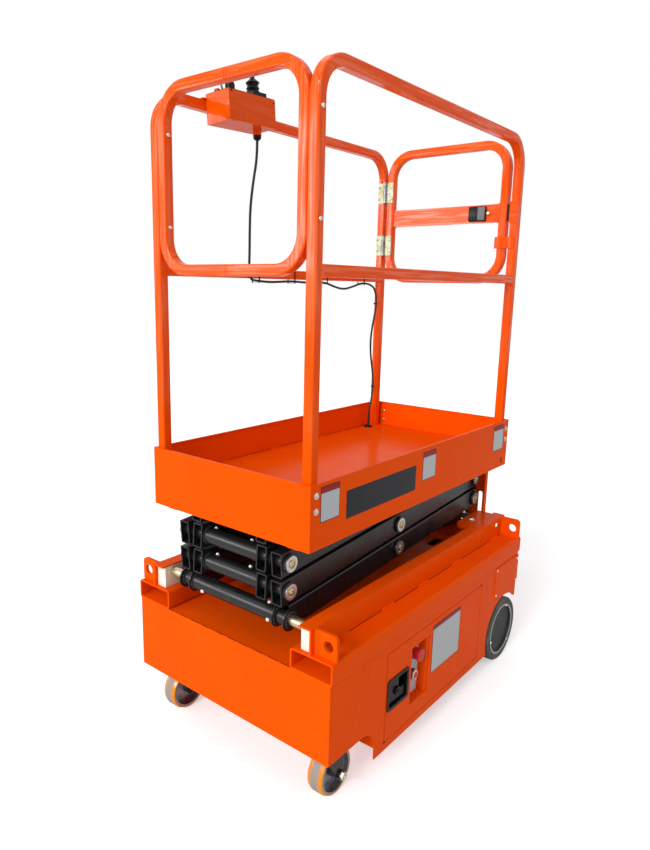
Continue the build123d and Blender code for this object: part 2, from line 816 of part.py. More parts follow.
def saddle_ears():
    """The hooked plates on the top frame that the rod's eye pushes against."""
    eye_x = (1 - cylinder_eye) * arm_pitch
    tube_x = eye_x - saddle_back
    ears = [rod_y(tube_x, saddle_rise, (-inner_arm_face, inner_arm_face), saddle_tube_radius)]
    outline = [
        (tube_x - saddle_tube_radius, saddle_rise),
        (tube_x - saddle_tube_radius, 4),
        (eye_x - 36, -14),
        (eye_x - 8, -14),
        (eye_x - 8, 14),
        (tube_x + saddle_tube_radius - 3, saddle_rise),
    ]
    for low in (-rod_pin_half + 1, rod_eye_half + 4):
        ears.append(plate_xz(outline, (low, low + 10), [(eye_x, 0, rod_pin_radius + rest_gap)]))
    return ears


def inner_frame(stage):
    """Two inner arms welded together by cross tubes, one frame of a stage."""
    overhangs = (arm_overhang, arm_overhang_gate)
    arm = arm_bar(inner_arm_face, overhangs, [])
    for share in (0, 0.5):
        arm += spacer(share)
    if stage > 1:
        arm += spacer(1)
    frame = arm + mirror(arm, about=Plane.XZ)
    across = (-inner_arm_face, inner_arm_face)
    for share in (0, 1):
        frame += rod_y(share * arm_pitch, 0, across, cross_tube_radius)
    for piece in {1: seat_ears, 3: saddle_ears}.get(stage, list)():
        frame += piece
    return stage_place("inner", stage) * frame


def outer_arms(stage):
    """The two outer arms of a stage; the lowest pair carries the roller shaft's tube."""
    bore = pin_radius + running_gap
    top = stage == 3
    bores = [(arm_pitch / 2, bore)]
    seats = [0.5]
    if stage > 1:
        bores.append((0, bore))
        seats.append(0)
    if not top:
        bores.append((arm_pitch, bore))
        seats.append(1)
    overhangs = (-8.0 if stage == 1 else arm_overhang, arm_overhang_top if top else arm_overhang_gate)
    arm = arm_bar(outer_arm_face, overhangs, bores, trimmed=top)
    for ring in head_seats(seats):
        arm += ring
    if top:
        arm += rod_y(arm_pitch, 0, (outer_arm_face, bracket_face + bracket_thickness + 3), pin_radius)
        arm += rod_y(arm_pitch, 0, (outer_arm_outer, bracket_face - 1), boss_radius)
    pair = both(arm)
    if stage == 1:
        sleeve = outer_arm_outer + roller_disc + 4
        whole = pair[0] + pair[1] + rod_y(0, 0, (-sleeve, sleeve), roller_sleeve_radius)
        whole += rod_y(0, 0, (-outer_arm_face, outer_arm_face), roller_tube_radius)
        for y in (outer_arm_face, outer_arm_outer + 4):
            for s in (-1, 1):
                disc = sorted((s * y, s * (y + roller_disc)))
                whole += rod_y(0, 0, disc, roller_disc_radius)
        pair = [whole]
    place = stage_place("outer", stage)
    return [place * piece for piece in pair]


def pin_head(x, y, radius):
    """A washer-like head with a ring groove round the pin's stub, seated on its low Y."""
    inner, outer, depth = head_groove
    head = rod_y(x, 0, (y, y + head_thickness), radius)
    groove_y = (y + head_thickness - depth, y + head_thickness + 1)
    return head - (rod_y(x, 0, groove_y, outer) - rod_y(x, 0, groove_y, inner))


def stage_pins(stage):
    """The turned pins that join a stage's inner frame to its neighbours, with ringed heads."""
    pins = []
    start = inner_arm_face + arm_width - pin_depth
    for share in (0, 0.5, 1):
        x = share * arm_pitch
        base = stage == 1 and share == 1
        slide = stage == 3 and share == 0
        if base:
            end = bracket_face + bracket_thickness + rest_gap
        elif slide:
            end = deck_channel_inner + 22
        else:
            end = outer_arm_outer + head_seat
        pin = rod_y(x, 0, (start, end), pin_radius)
        if not slide:
            pin += pin_head(x, end, base_head_radius if base else head_radius)
        pins += both(pin)
    place = stage_place("inner", stage)
    return [place * pin for pin in pins]


def pin_sockets(stage):
    """The blind holes in an inner frame that its pins are pressed into."""
    start = inner_arm_face + arm_width - pin_depth
    holes = [rod_y(share * arm_pitch, 0, (start, outer_arm_face), pin_radius) for share in (0, 0.5, 1)]
    place = stage_place("inner", stage)
    return [place * hole for low in holes for hole in both(low)]


def roller_shaft():
    """The zinc shaft ends that run from the roller tube into the slide blocks."""
    x, z = pin_at("N", 0)
    sleeve_end = outer_arm_outer + roller_disc + 4
    return both(rod_y(x, z, (sleeve_end, rail_web_outer - rail_thickness - 12), shaft_radius))


def base_slide_blocks():
    """Nylon blocks under the slide rails' flanges."""
    x, z = pin_at("N", 0)
    body = block(
        (x - block_length / 2, x + block_length / 2),
        (rail_web_outer - rail_flange + 1, rail_web_outer - rail_thickness - rest_gap),
        (tube_top + rest_gap, rail_z - rail_thickness - rest_gap),
    )
    inner = rail_web_outer - rail_flange
    return both(body - rod_y(x, z, (inner, rail_web_outer - rail_thickness - 11), shaft_radius + running_gap))


def deck_slide_blocks():
    """Nylon blocks that run in the channels under the deck."""
    x, z = pin_at("N", 3)
    half = deck_block_height / 2
    body = block(
        (x - deck_block[0], x + deck_block[1]),
        (deck_channel_inner + 2, deck_channel_outer - rest_gap),
        (z - half + rest_gap, z + half - rest_gap),
    )
    return both(body - rod_y(x, z, (deck_channel_inner, deck_channel_inner + 23), pin_radius + running_gap))


def deck_channels():
    """The channels and pivot ears under the deck, tied to it by hangers."""
    z = pin_at("N", 3)[1]
    half = deck_block_height / 2
    wall = deck_channel_wall
    x = (pin_x_caster - deck_block[1], pin_x_caster - deck_block[1] + deck_channel_length)
    inner, outer = deck_channel_inner + 2, deck_channel_outer
    channel = block(x, (outer, outer + wall), (z - half - wall, deck_bottom))
    channel += block(x, (inner, outer), (z + half, z + half + wall))
    channel += block(x, (inner, outer), (z - half - wall, z - half))
    ear = plate_xz(
        [
            (pin_x_gate - deck_ear[0], deck_bottom),
            (pin_x_gate + deck_ear[1], deck_bottom),
            (pin_x_gate + deck_ear[1] - 4, z - deck_ear[2]),
            (pin_x_gate - deck_ear[0] / 2, z - deck_ear[2]),
        ],
        (bracket_face, bracket_face + bracket_thickness),
        [(pin_x_gate, z, pin_radius + running_gap)],
    )
    return both(channel) + both(ear)


# ---- lift cylinder
def cylinder_ends():
    """The barrel's pivot and the rod's eye, in X and Z, with the arms folded."""
    arm = radians(fold_angle)
    toward_caster = Vector(-cos(arm), 0, sin(arm))
    normal = Vector(sin(arm), 0, cos(arm))
    base = Vector(*[pin_x_gate, 0, pin_z_base])
    top = Vector(*[pin_x_gate, 0, pin_z_base + 2 * pin_pitch])
    seat = base + toward_caster * (cylinder_seat * arm_pitch) - normal * cylinder_seat_drop
    eye = top + toward_caster * (cylinder_eye * arm_pitch)
    return seat, eye


def cylinder_place():
    """Local X runs from the barrel's pivot to the rod's eye."""
    seat, eye = cylinder_ends()
    lean = degrees(atan2(eye.Z - seat.Z, eye.X - seat.X))
    return Pos(seat.X, 0, seat.Z) * Rot(0, -lean, 0), (eye - seat).length


def bar_x(x, radius):
    """A round bar along local X between two X values."""
    return Pos(sum(x) / 2, 0, 0) * Rot(0, 90, 0) * Cylinder(radius, x[1] - x[0])


def cylinder_barrel():
    """The barrel with its pivot eye, end cap, gland nut and oil port."""
    place, _ = cylinder_place()
    half = barrel_eye_half
    barrel = rod_y(0, 0, (-half, half), barrel_eye_radius)
    barrel += bar_x((0, barrel_start + 2), 23)
    barrel += bar_x((barrel_start, barrel_end), barrel_radius)
    barrel += bar_x((barrel_end - gland_length, barrel_end + 6), barrel_radius + 4)
    barrel += Pos(piston_start + 40, 0, barrel_radius + 4) * Cylinder(9, 16)
    barrel -= bar_x((piston_start - 8, barrel_end - gland_length), barrel_bore)
    barrel -= bar_x((piston_start, barrel_end + 7), rod_radius + running_gap)
    barrel -= rod_y(0, 0, (-half - 1, half + 1), barrel_pin_radius + running_gap)
    return place * barrel


def cylinder_rod():
    """The bright rod with its piston, and the eye with its pin's two ends."""
    place, length = cylinder_place()
    rod = bar_x((piston_start, length), rod_radius)
    rod += bar_x((piston_start, piston_start + 30), barrel_bore - running_gap)
    rod += Pos(length, 0, 0) * rod_y(0, 0, (-rod_eye_half, rod_eye_half), rod_eye_radius)
    rod += Pos(length, 0, 0) * rod_y(0, 0, (-rod_pin_half, rod_pin_half), rod_pin_radius)
    return place * rod


# ---- platform
def platform_deck():
    """The flat deck sheet inside the toe boards."""
    half_x = platform_length / 2 - board
    return block((-half_x, half_x), (-board_inner, board_inner), (deck_bottom, deck_top))


def toe_boards():
    """The four boards round the deck, with a narrow hem along the top."""
    half_x, half_y = platform_length / 2, platform_width / 2
    height = (board_bottom, board_top)
    boards = block((-half_x, half_x), (-half_y, half_y), height)
    boards -= block((-half_x + board, half_x - board), (-board_inner, board_inner), (board_bottom - 1, board_top + 1))
    hem = block((-half_x, half_x), (-half_y, half_y), (board_top - board, board_top))
    inset = board + board_hem
    hem -= block((-half_x + inset, half_x - inset), (-half_y + inset, half_y - inset), (board_top - board - 1, board_top + 1))
    oval = Plane.XZ * SlotOverall(*board_slot, rotation=90)
    slot_place = Pos(half_x - board_slot_setback, half_y + 1, board_bottom + board_slot_height)
    slot = slot_place * extrude(oval, platform_width + 2, dir=(0, -1, 0))
    return boards + hem - slot


def tube_section(plane):
    """The guard rails' square tube section on a plane."""
    return plane * RectangleRounded(rail_tube, rail_tube, rail_tube_corner)


def side_guard(side):
    """A long side's bent hoop with its mid rail; the near one carries the gate's keeper."""
    y = rail_axis
    path = FilletPolyline(
        (post_x_caster, y, deck_top),
        (post_x_caster, y, top_rail_axis),
        (post_x_gate, y, top_rail_axis),
        (post_x_gate, y, deck_top),
        radius=bend_radius,
    )
    guard = sweep(tube_section(Plane(origin=(post_x_caster, y, deck_top))), path=path)
    reach = rail_tube / 2 - 3  # the mid rail ends a little inside each post
    section = Plane.YZ * RectangleRounded(rail_tube, rail_tube, rail_tube_corner - 1)
    mid = extrude(section, post_x_gate - post_x_caster - 2 * reach)
    guard += Pos(post_x_caster + reach, y, mid_rail_axis) * mid
    guard = on_side(guard, side)
    if side < 0:
        face = post_x_gate - rail_tube / 2
        keeper_z = (gate_bar_centre - keeper_half, gate_bar_centre + keeper_half)
        guard += block((face - stop_sheet, face + 1), (-post_outer, -post_inner), keeper_z)
    return guard


def rounded_loop(x, half_y, z, radius):
    """A closed tube loop standing in YZ; half_y and z are over the tube."""
    inset = rail_tube / 2
    centre = Plane(origin=(x, 0, sum(z) / 2), x_dir=(0, 1, 0), z_dir=(1, 0, 0))
    size = (2 * (half_y - inset), z[1] - z[0] - 2 * inset)
    path = (centre * RectangleRounded(*size, radius)).wire()
    start = Plane(origin=(x, half_y - inset, sum(z) / 2))
    return sweep(tube_section(start), path=path)


def end_guard():
    """The closed loop between the caster-end posts."""
    return rounded_loop(post_x_caster, post_inner, (mid_rail_top - rail_tube, rail_top), end_loop_radius)


def in_box(shape):
    """Sets a shape drawn about the control box's middle into the box's leaning place."""
    return Pos(*box_centre) * Rot(*box_tilt, 0) * shape


def control_box():
    """The sheet box hooked over the far top rail, with the cable gland's boss."""
    box = in_box(Box(*box_size))
    x = (box_centre_x - box_size[0] / 2 - box_hook_reach, box_centre_x + box_size[0] / 2 - 6)
    hook_z = (rail_top + weld_gap, rail_top + weld_gap + box_hook)
    back = post_outer + weld_gap
    box += block(x, (post_inner - 4, back), hook_z)
    box += block(x, (back, back + box_hook), (rail_top - 14, hook_z[1]))
    return box + rod_z(gland_x, gland_y, (gland_bottom + 14, box_centre[2]), gland_radius + 0.4)


def control_levers():
    """The lid with the joystick's ribbed boot and a domed knob, and the gland's nut."""
    top = box_size[2] / 2
    lid = Pos(0, 0, top + lid_sheet / 2) * Box(box_size[0] - 6, box_size[1] - 5, lid_sheet)
    top += lid_sheet
    boot = Pos(*boot_place, top + 8) * Box(56, 56, 16)
    profile = [(0, 14), (19, 14), (20, 22), (17, 25), (20, 31), (16, 38), (21, 47), (7, 59), (7, 74), (0, 74)]
    face = make_face(Plane.XZ * Polyline(*profile, close=True))
    boot += Pos(*boot_place, top) * revolve(face, Axis.Z)
    arc = [Line((0, 0), (dome_radius, 0)), Line((dome_radius, 0), (dome_radius, dome_neck))]
    arc += [CenterArc((0, dome_neck), dome_radius, 0, 90), Line((0, dome_neck + dome_radius), (0, 0))]
    dome = Pos(*dome_place, top) * revolve(make_face([Plane.XZ * edge for edge in arc]), Axis.Z)
    nut = rod_z(gland_x, gland_y, (gland_bottom + 6, gland_bottom + 14), gland_radius)
    nut += Pos(gland_x, gland_y, gland_bottom + 3) * Cone(gland_radius - 5, gland_radius, 6)
    return [in_box(lid + boot + dome), nut]


# ---- control cable, clipped from the control box down to the deck
gland_x, gland_y = -256.0, 204.0
gland_bottom = 1816.0
gland_radius = 12.4
boot_place = (53.0, 0.0)
dome_place = (-60.0, -17.0)
dome_radius = 14.0
dome_neck = 16.0
cable_radius = 4.0
tie_places = (-181, -1, 185, 425)
cable_route = [
    (-256, 204, 1816),
    (-256, 204, 1768),
    (-262, 214, 1700),
    (-260, 228, 1628),
    (-250, 240, 1556),
    (-243, 247, 1492),
    (-241, 251, 1442),
    (-230, 256, 1408),
    (-181, 272, 1405),
    (-110, 275, 1401),
    (-1, 277, 1407),
    (92, 277, 1402),
    (185, 277, 1407),
    (245, 277, 1391),
    (305, 277, 1381),
    (365, 277, 1391),
    (425, 277, 1407),
    (478, 275, 1404),
    (516, 273, 1388),
    (530, 271, 1348),
    (524, 270, 1294),
    (505, 269, 1238),
    (494, 269, 1176),
    (502, 270, 1112),
    (520, 270, 1052),
    (528, 269, 992),
    (518, 268, 934),
    (501, 267, 880),
    (498, 266, 818),
]


def corner_radii(route):
    """The largest arc that the two runs at each corner allow."""
    radii = []
    for before, here, after in zip(route, route[1:], route[2:]):
        into, out = Vector(*here) - Vector(*before), Vector(*after) - Vector(*here)
        turn = radians(into.get_angle(out))
        radii.append(0.45 * min(into.length, out.length) / (sin(turn / 2) / cos(turn / 2)))
    return radii


def control_cable():
    """The round cable along its route."""
    radii = corner_radii(cable_route)
    path = FilletPolyline(*cable_route, radius=radii)
    section = Plane(origin=cable_route[0], z_dir=(0, 0, -1)) * Circle(cable_radius)
    cable = sweep(section, path=path)
    print("cable length", round(path.length, 1), "volume ratio", round(cable.volume / section.area / path.length, 4))
    print("cable radii", [round(r) for r in radii])
    return cable


def cable_ties():
    """Thin straps round the mid rail and the cable below it."""
    ties = []
    half = rail_tube / 2
    for x in tie_places:
        z = (mid_rail_axis - half - 2 * cable_radius - 5.5, mid_rail_top)
        band = block((x - 3, x + 3), (rail_axis - half - 1, rail_axis + half + 1), (z[0], z[1] + 1))
        band -= block((x - 4, x + 4), (rail_axis - half, rail_axis + half), (z[0] + 1, z[1]))
        ties.append(band)
    return ties


# ---- gate
def gate_frame():
    """The gate's loop with its flat bar and the stop plate that laps the near post."""
    gate = rounded_loop(post_x_gate, gate_half_width, (gate_bottom, rail_top), end_loop_radius)
    inner = gate_half_width - rail_tube / 2
    z = (gate_bar_centre - gate_bar_height / 2, gate_bar_centre + gate_bar_height / 2)
    half_bar = gate_bar_depth / 2
    gate += block((post_x_gate - half_bar, post_x_gate + half_bar), (-inner, inner), z)
    face = post_x_gate - rail_tube / 2
    stop_z = (stop_plate_z - stop_half, stop_plate_z + stop_half)
    lap = -gate_half_width + stop_lap[1]
    gate += block((face - stop_sheet, face - rest_gap), (-post_inner - stop_lap[0], lap), stop_z)
    gate += block((face - rest_gap, face + 2), (-gate_half_width + 4, lap), stop_z)
    return gate


def gate_latch():
    """The slide latch: a thumb piece on the bar and the bolt's nose at the gate's edge."""
    face = post_x_gate - gate_bar_depth / 2
    thumb = block((face - 9, face), thumb_y, (gate_bar_centre - thumb_half, gate_bar_centre + thumb_half))
    nose_z = (gate_bar_centre - nose_half, gate_bar_centre + nose_half)
    nose = block((face - 2, face + 22), (-gate_half_width - 8, -gate_half_width), nose_z)
    return [thumb, nose]


def hinge_leaf(z, gate_side):
    """One leaf of a hinge: a plate on a tube and its share of the knuckle."""
    face = post_x_gate - rail_tube / 2
    if gate_side:
        leaf_y = (gate_half_width - hinge_leaf_width, hinge_axis_y)
        spans = [(z - hinge_half / 2, z + hinge_half / 2)]
        cuts = [(z - hinge_half - 1, z - hinge_half / 2), (z + hinge_half / 2, z + hinge_half + 1)]
        strip = (gate_half_width, hinge_axis_y + 1)
    else:
        leaf_y = (hinge_axis_y, post_inner + hinge_leaf_width)
        spans = [(z - hinge_half, z - hinge_half / 2 - 0.5), (z + hinge_half / 2 + 0.5, z + hinge_half)]
        cuts = [(z - hinge_half / 2 - 0.5, z + hinge_half / 2 + 0.5)]
        strip = (hinge_axis_y - 1, post_inner)
    leaf = block((face - hinge_sheet, face), leaf_y, (z - hinge_half, z + hinge_half))
    for low, high in cuts:
        leaf -= block((face - hinge_sheet - 1, face + 1), strip, (low, high))
    for low, high in spans:
        leaf += rod_z(hinge_axis_x, hinge_axis_y, (low, high), hinge_knuckle)
    return leaf


def hinge_leaves(gate_side):
    """The two gate hinges' leaves on one side of the knuckle."""
    return [hinge_leaf(z, gate_side) for z in hinge_heights]


# ---- write every node
for name, side in SIDES.items():
    write(f"side_panel_{name}", side_panel(side))
    write(f"access_door_{name}", access_door(side))
    write(f"door_latch_{name}", door_latch(side))
    write(f"drive_tyre_{name}", drive_tyre(side))
    write(f"drive_hub_{name}", drive_hub(side))
    write(f"caster_fork_{name}", caster_fork(side))
    write(f"caster_hub_{name}", caster_hub(side))
    write(f"caster_tyre_{name}", caster_tyre(side))
    write(f"guard_rail_{name}", side_guard(side))
write("end_plates", *end_plates())
write("top_tray", top_tray())
write("underframe", *underframe())
write("fork_tubes", *both(fork_tube()))
write("slide_rails", *both(slide_rail()))
write("lifting_lugs", *lifting_lugs())
write("step_plate", step_plate())
write("pivot_brackets", *pivot_brackets())
write("battery_pack", battery_pack())
write("control_niche", control_niche())
write("ground_controls", *ground_controls())
write("axle_stubs", *axle_stubs())
write("caster_plates", *caster_plates())
for stage in (1, 2, 3):
    frame = inner_frame(stage)
    for socket in pin_sockets(stage):
        frame -= socket
    write(f"inner_frame_{stage}", frame)
    write(f"outer_arms_{stage}", *outer_arms(stage))
    write(f"pivot_pins_{stage}", *stage_pins(stage))
write("roller_shaft", *roller_shaft())
write("base_slide_blocks", *base_slide_blocks())
write("deck_slide_blocks", *deck_slide_blocks())
write("cylinder_barrel", cylinder_barrel())
write("cylinder_rod", cylinder_rod())
write("platform_deck", platform_deck())
write("toe_boards", toe_boards())
write("deck_channels", *deck_channels())
write("end_guard", end_guard())
write("control_box", control_box())
write("control_levers", *control_levers())
write("control_cable", control_cable())
write("cable_ties", *cable_ties())
write("gate_frame", gate_frame())
write("gate_latch", *gate_latch())
write("post_hinge_leaves", *hinge_leaves(False))
write("gate_hinge_leaves", *hinge_leaves(True))
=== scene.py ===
# %% [markdown]
# # A compact scissor lift
#
# The lift is a steel machine that a person pushes to the job by hand. Its chassis, platform and guards
# are powder coated orange, and the folded arm stack between them is black. Every screw could be modelled
# in the solids too, but a solid model is slow to change. So this lesson takes the imported solids as they
# are, gives them their finishes, and adds what is too small for them: screws, painted shade in the open
# seams and holes, weld beads, blank plates, hinge barrels and the control cable.

# %% Open the imported model
import json
import math

import bmesh
import bpy
from mathutils import Matrix, Vector


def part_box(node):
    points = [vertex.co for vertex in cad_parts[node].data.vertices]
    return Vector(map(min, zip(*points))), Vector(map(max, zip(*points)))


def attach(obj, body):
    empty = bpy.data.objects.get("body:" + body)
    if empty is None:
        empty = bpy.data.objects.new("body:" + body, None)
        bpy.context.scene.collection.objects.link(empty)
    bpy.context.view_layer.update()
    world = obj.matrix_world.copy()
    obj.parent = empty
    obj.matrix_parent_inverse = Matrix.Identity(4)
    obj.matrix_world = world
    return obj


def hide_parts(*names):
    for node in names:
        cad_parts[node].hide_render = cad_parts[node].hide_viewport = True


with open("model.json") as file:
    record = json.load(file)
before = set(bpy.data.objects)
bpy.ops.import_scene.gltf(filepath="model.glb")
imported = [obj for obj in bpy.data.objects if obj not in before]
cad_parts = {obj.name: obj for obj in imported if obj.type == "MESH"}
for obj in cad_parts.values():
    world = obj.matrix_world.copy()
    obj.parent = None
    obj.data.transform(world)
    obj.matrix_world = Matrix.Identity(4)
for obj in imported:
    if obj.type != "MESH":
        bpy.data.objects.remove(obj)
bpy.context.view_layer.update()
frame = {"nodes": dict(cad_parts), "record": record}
nodes = frame["nodes"]

# %% [markdown]
# The camera stands a little above the deck, off the corner with the swivelling casters, so that the deck,
# the stack's end and one long side all show. It could be turned with three angles, but a direction is
# easier to think about. A camera looks along its own -Z axis, so to_track_quat turns the direction into a
# rotation, and the last small turn about that axis tilts the horizon. The shift moves the picture's
# middle without turning the camera.

# %% The camera
def add_object(name, data):
    """Puts data in the scene as an object of its own."""
    made = bpy.data.objects.new(name, data)
    bpy.context.scene.collection.objects.link(made)
    return made


def aimed(direction):
    """The turn that makes an object's own -Z axis look along a direction."""
    return Vector(direction).to_track_quat("-Z", "Y").to_matrix().to_4x4()


yaw, pitch, roll = math.radians(39.42), math.radians(11.95), math.radians(1.04)
camera_place = (-1.8312, -1.2783, 1.3896)
looking = (math.cos(pitch) * math.cos(yaw), math.cos(pitch) * math.sin(yaw), -math.sin(pitch))
camera_data = bpy.data.cameras.new("camera")
camera_data.lens = 28.52
camera_data.sensor_width = 36
camera_data.shift_x = 0.0292
camera_data.shift_y = 0.0046
camera_data.clip_end = 60
camera = add_object("camera", camera_data)
camera.matrix_world = Matrix.Translation(camera_place) @ aimed(looking) @ Matrix.Rotation(roll, 4, "Z")
bpy.context.scene.camera = camera
print("camera at", camera_place)

# %% [markdown]
# The control cable is a round rubber cord. It leaves the gland under the control box, hangs to the mid
# rail, is strapped along its underside with a slack dip before the post, and drops through a grommet in
# the deck. It could be a chain of bent cylinders, but they would kink where they meet, and a NURBS spline
# with a few control points gives the easy line that a rubber cable takes. Its order is set after the
# points are there, because a shorter spline can't hold it. The bevel is 1 and each point's radius is the
# cable's, because Blender grows a curve's box by the radius, and the default of 1 would add a metre.

# %% The control cable
cable_diameter = 0.008
cable_route = [
    (-0.256, 0.204, 1.816), (-0.256, 0.204, 1.768), (-0.262, 0.214, 1.700), (-0.260, 0.228, 1.628),
    (-0.250, 0.240, 1.556), (-0.243, 0.247, 1.492), (-0.241, 0.251, 1.442), (-0.230, 0.256, 1.408),
    (-0.181, 0.272, 1.405), (-0.110, 0.275, 1.401), (-0.001, 0.277, 1.407), (0.092, 0.277, 1.402),
    (0.185, 0.277, 1.407), (0.245, 0.277, 1.391), (0.305, 0.277, 1.381), (0.365, 0.277, 1.391),
    (0.425, 0.277, 1.407), (0.478, 0.275, 1.404), (0.516, 0.273, 1.388), (0.530, 0.271, 1.348),
    (0.524, 0.270, 1.294), (0.505, 0.269, 1.238), (0.494, 0.269, 1.176), (0.502, 0.270, 1.112),
    (0.520, 0.270, 1.052), (0.528, 0.269, 0.992), (0.518, 0.268, 0.934), (0.501, 0.267, 0.880),
    (0.498, 0.266, 0.818),
]
cable_curve = bpy.data.curves.new("control_cable_line", "CURVE")
cable_curve.dimensions = "3D"
cable_curve.bevel_depth = 1
cable_curve.bevel_resolution = 5
cable_curve.resolution_u = 10
spline = cable_curve.splines.new("NURBS")
spline.points.add(len(cable_route) - 1)
for point, place in zip(spline.points, cable_route):
    point.co = (*place, 1)
    point.radius = cable_diameter / 2
spline.use_endpoint_u = True
spline.order_u = 3
cable = add_object("control_cable_line", cable_curve)
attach(cable, "platform")
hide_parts("control_cable")
print("cable points:", len(cable_route))

# %% [markdown]
# Finishes are worked out by nodes. They could be wired one at a time, but a long chain of sums is hard to
# read that way, so here finishes are written as formulas. A Signal wraps one socket, and its arithmetic
# adds Math nodes. Every other kind of node comes from its one method, which sets the node's own settings
# first and then the values or links of its sockets.

# %% A socket that can be added and multiplied
class Signal:
    """One socket of a material, with arithmetic that builds Math nodes."""

    def __init__(self, tree, socket=None):
        self.tree, self.socket = tree, socket

    def node(self, kind, settings, inputs, output=0):
        """Adds any node: settings first, then values or links by socket name or number."""
        made = self.tree.nodes.new(kind)
        for key, value in settings.items():
            setattr(made, key, value)
        for key, value in inputs.items():
            if isinstance(value, Signal):
                self.tree.links.new(value.socket, made.inputs[key])
            else:
                made.inputs[key].default_value = value
        return Signal(self.tree, made.outputs[output])

    def maths(self, operation, first, second=0.0):
        return self.node("ShaderNodeMath", {"operation": operation}, {0: first, 1: second})

    def __add__(self, other):
        return self.maths("ADD", self, other)

    def __radd__(self, other):
        return self.maths("ADD", other, self)

    def __sub__(self, other):
        return self.maths("SUBTRACT", self, other)

    def __rsub__(self, other):
        return self.maths("SUBTRACT", other, self)

    def __mul__(self, other):
        return self.maths("MULTIPLY", self, other)

    def __rmul__(self, other):
        return self.maths("MULTIPLY", other, self)

    def axis(self, number):
        """One part of a place: 0 for X, 1 for Y, 2 for Z."""
        return self.node("ShaderNodeSeparateXYZ", {}, {"Vector": self}, number)

    def away_from(self, centre):
        """The distance from a plain value."""
        gap = self - centre
        return gap.maths("ABSOLUTE", gap)

    def above(self, low, high):
        """0 below low, 1 above high, and smooth between them."""
        return self.node("ShaderNodeMapRange", {"interpolation_type": "SMOOTHSTEP"},
                         {"Value": self, "From Min": low, "From Max": high, "To Min": 0.0, "To Max": 1.0})


print("signals can be added, subtracted and multiplied")

# %% [markdown]
# No real surface is quite even, so every finish below uses the same few patterns: a noise, stretched where
# the making or the wear has a direction, a blend of two colours by a mask, and a bump from a height.
# Pictures wrapped round the pieces could do it too, but they need unwrapping and show seams. These patterns
# read each point's place on the machine, so they run on across a joint between two pieces.

# %% Patterns and the start of a finish
def noise(place, scale, detail=4.0, stretch=(1, 1, 1)):
    """Soft random values over the surface, stretched along the axes where asked."""
    laid = place.node("ShaderNodeMapping", {"vector_type": "POINT"}, {"Vector": place, "Scale": stretch})
    return laid.node("ShaderNodeTexNoise", {}, {"Vector": laid, "Scale": scale, "Detail": detail})


def blend(mask, first, second):
    """One colour where the mask is 0 and another where it is 1: sockets 6 and 7 are the colours."""
    return mask.node("ShaderNodeMix", {"data_type": "RGBA"}, {0: mask, 6: first, 7: second}, 2)


def grey_bump(height, strength, distance):
    """A normal that follows a height."""
    return height.node("ShaderNodeBump", {}, {"Strength": strength, "Distance": distance, "Height": height})


def new_finish(name):
    """A material, its shader, and the place on the piece as a Signal."""
    material = bpy.data.materials.new(name)
    material.use_nodes = True
    tree = material.node_tree
    place = Signal(tree).node("ShaderNodeTexCoord", {}, {}, "Object")
    return material, tree.nodes["Principled BSDF"], place


def connect(shader, **links):
    """Feeds the shader's sockets from signals or plain values, by name with _ for a space."""
    for name, value in links.items():
        socket = shader.inputs[name.replace("_", " ")]
        if isinstance(value, Signal):
            value.tree.links.new(value.socket, socket)
        else:
            socket.default_value = value


def mirror_share(level, *materials):
    """Sets how much the finishes mirror, where 0.5 is the usual plastic."""
    for material in materials:
        connect(material.node_tree.nodes["Principled BSDF"], Specular_IOR_Level=level)


print("patterns: noise, blend, grey_bump")

# %% [markdown]
# Hands, gloves and tool belts polish the guards along their tubes, and a paler colour is painted into the
# same streaks as a highlight: the streaks stand upright on the posts and lie level on the bars. They could
# be painted tube by tube. One mask is simpler: it stretches a noise both ways, and picks the level one at
# the heights where bars run, except at the four corners, where the posts pass through.

# %% Glossy streaks with a painted highlight along the guards' tubes
bar_heights = ((1.407, 1.445), (1.624, 1.692))
top_bar_height = (1.868, 1.876)
posts_middle, posts_from_middle, posts_from_side = -0.006, (0.549, 0.552), (0.205, 0.215)


def glaze_and_highlight_streaks(place):
    """1 on polished streaks, where a paler colour is also painted in as a highlight, and 0 between them."""
    height = place.axis(2)
    bars = height.above(*top_bar_height)
    for low, top in bar_heights:
        bars = bars + height.above(low - 0.002, low) * (1.0 - height.above(top, top + 0.002))
    at_post = place.axis(0).away_from(posts_middle).above(*posts_from_middle)
    lying = bars * (1.0 - at_post * place.axis(1).away_from(0.0).above(*posts_from_side))
    upright = noise(place, 9.0, 3.0, (14, 14, 0.6))
    level = noise(place, 9.0, 3.0, (0.6, 0.6, 14))
    return (lying * level + (1.0 - lying) * upright).above(0.46, 0.60)


print("bars with level streaks:", len(bar_heights) + 1)

# %% [markdown]
# Powder coat is baked plastic dust: thick, glossy, with a fine orange-peel ripple and slow waves where it
# ran together. On a machine that is pushed about it is a little dull low down, and the guards carry a
# glaze in streaks, where a paler colour is painted in as a highlight. One plain colour would be quicker,
# but it makes steel look like toy plastic. The same recipe serves the orange and the black paint with
# other numbers. Its mirror-like share is kept low where there is no glaze, because a strong one would lay
# the pale room over the orange.

# %% Powder coat, in orange and in black
dust_fades = (0.02, 0.42)
glaze_and_highlight_heights = (0.95, 1.20)


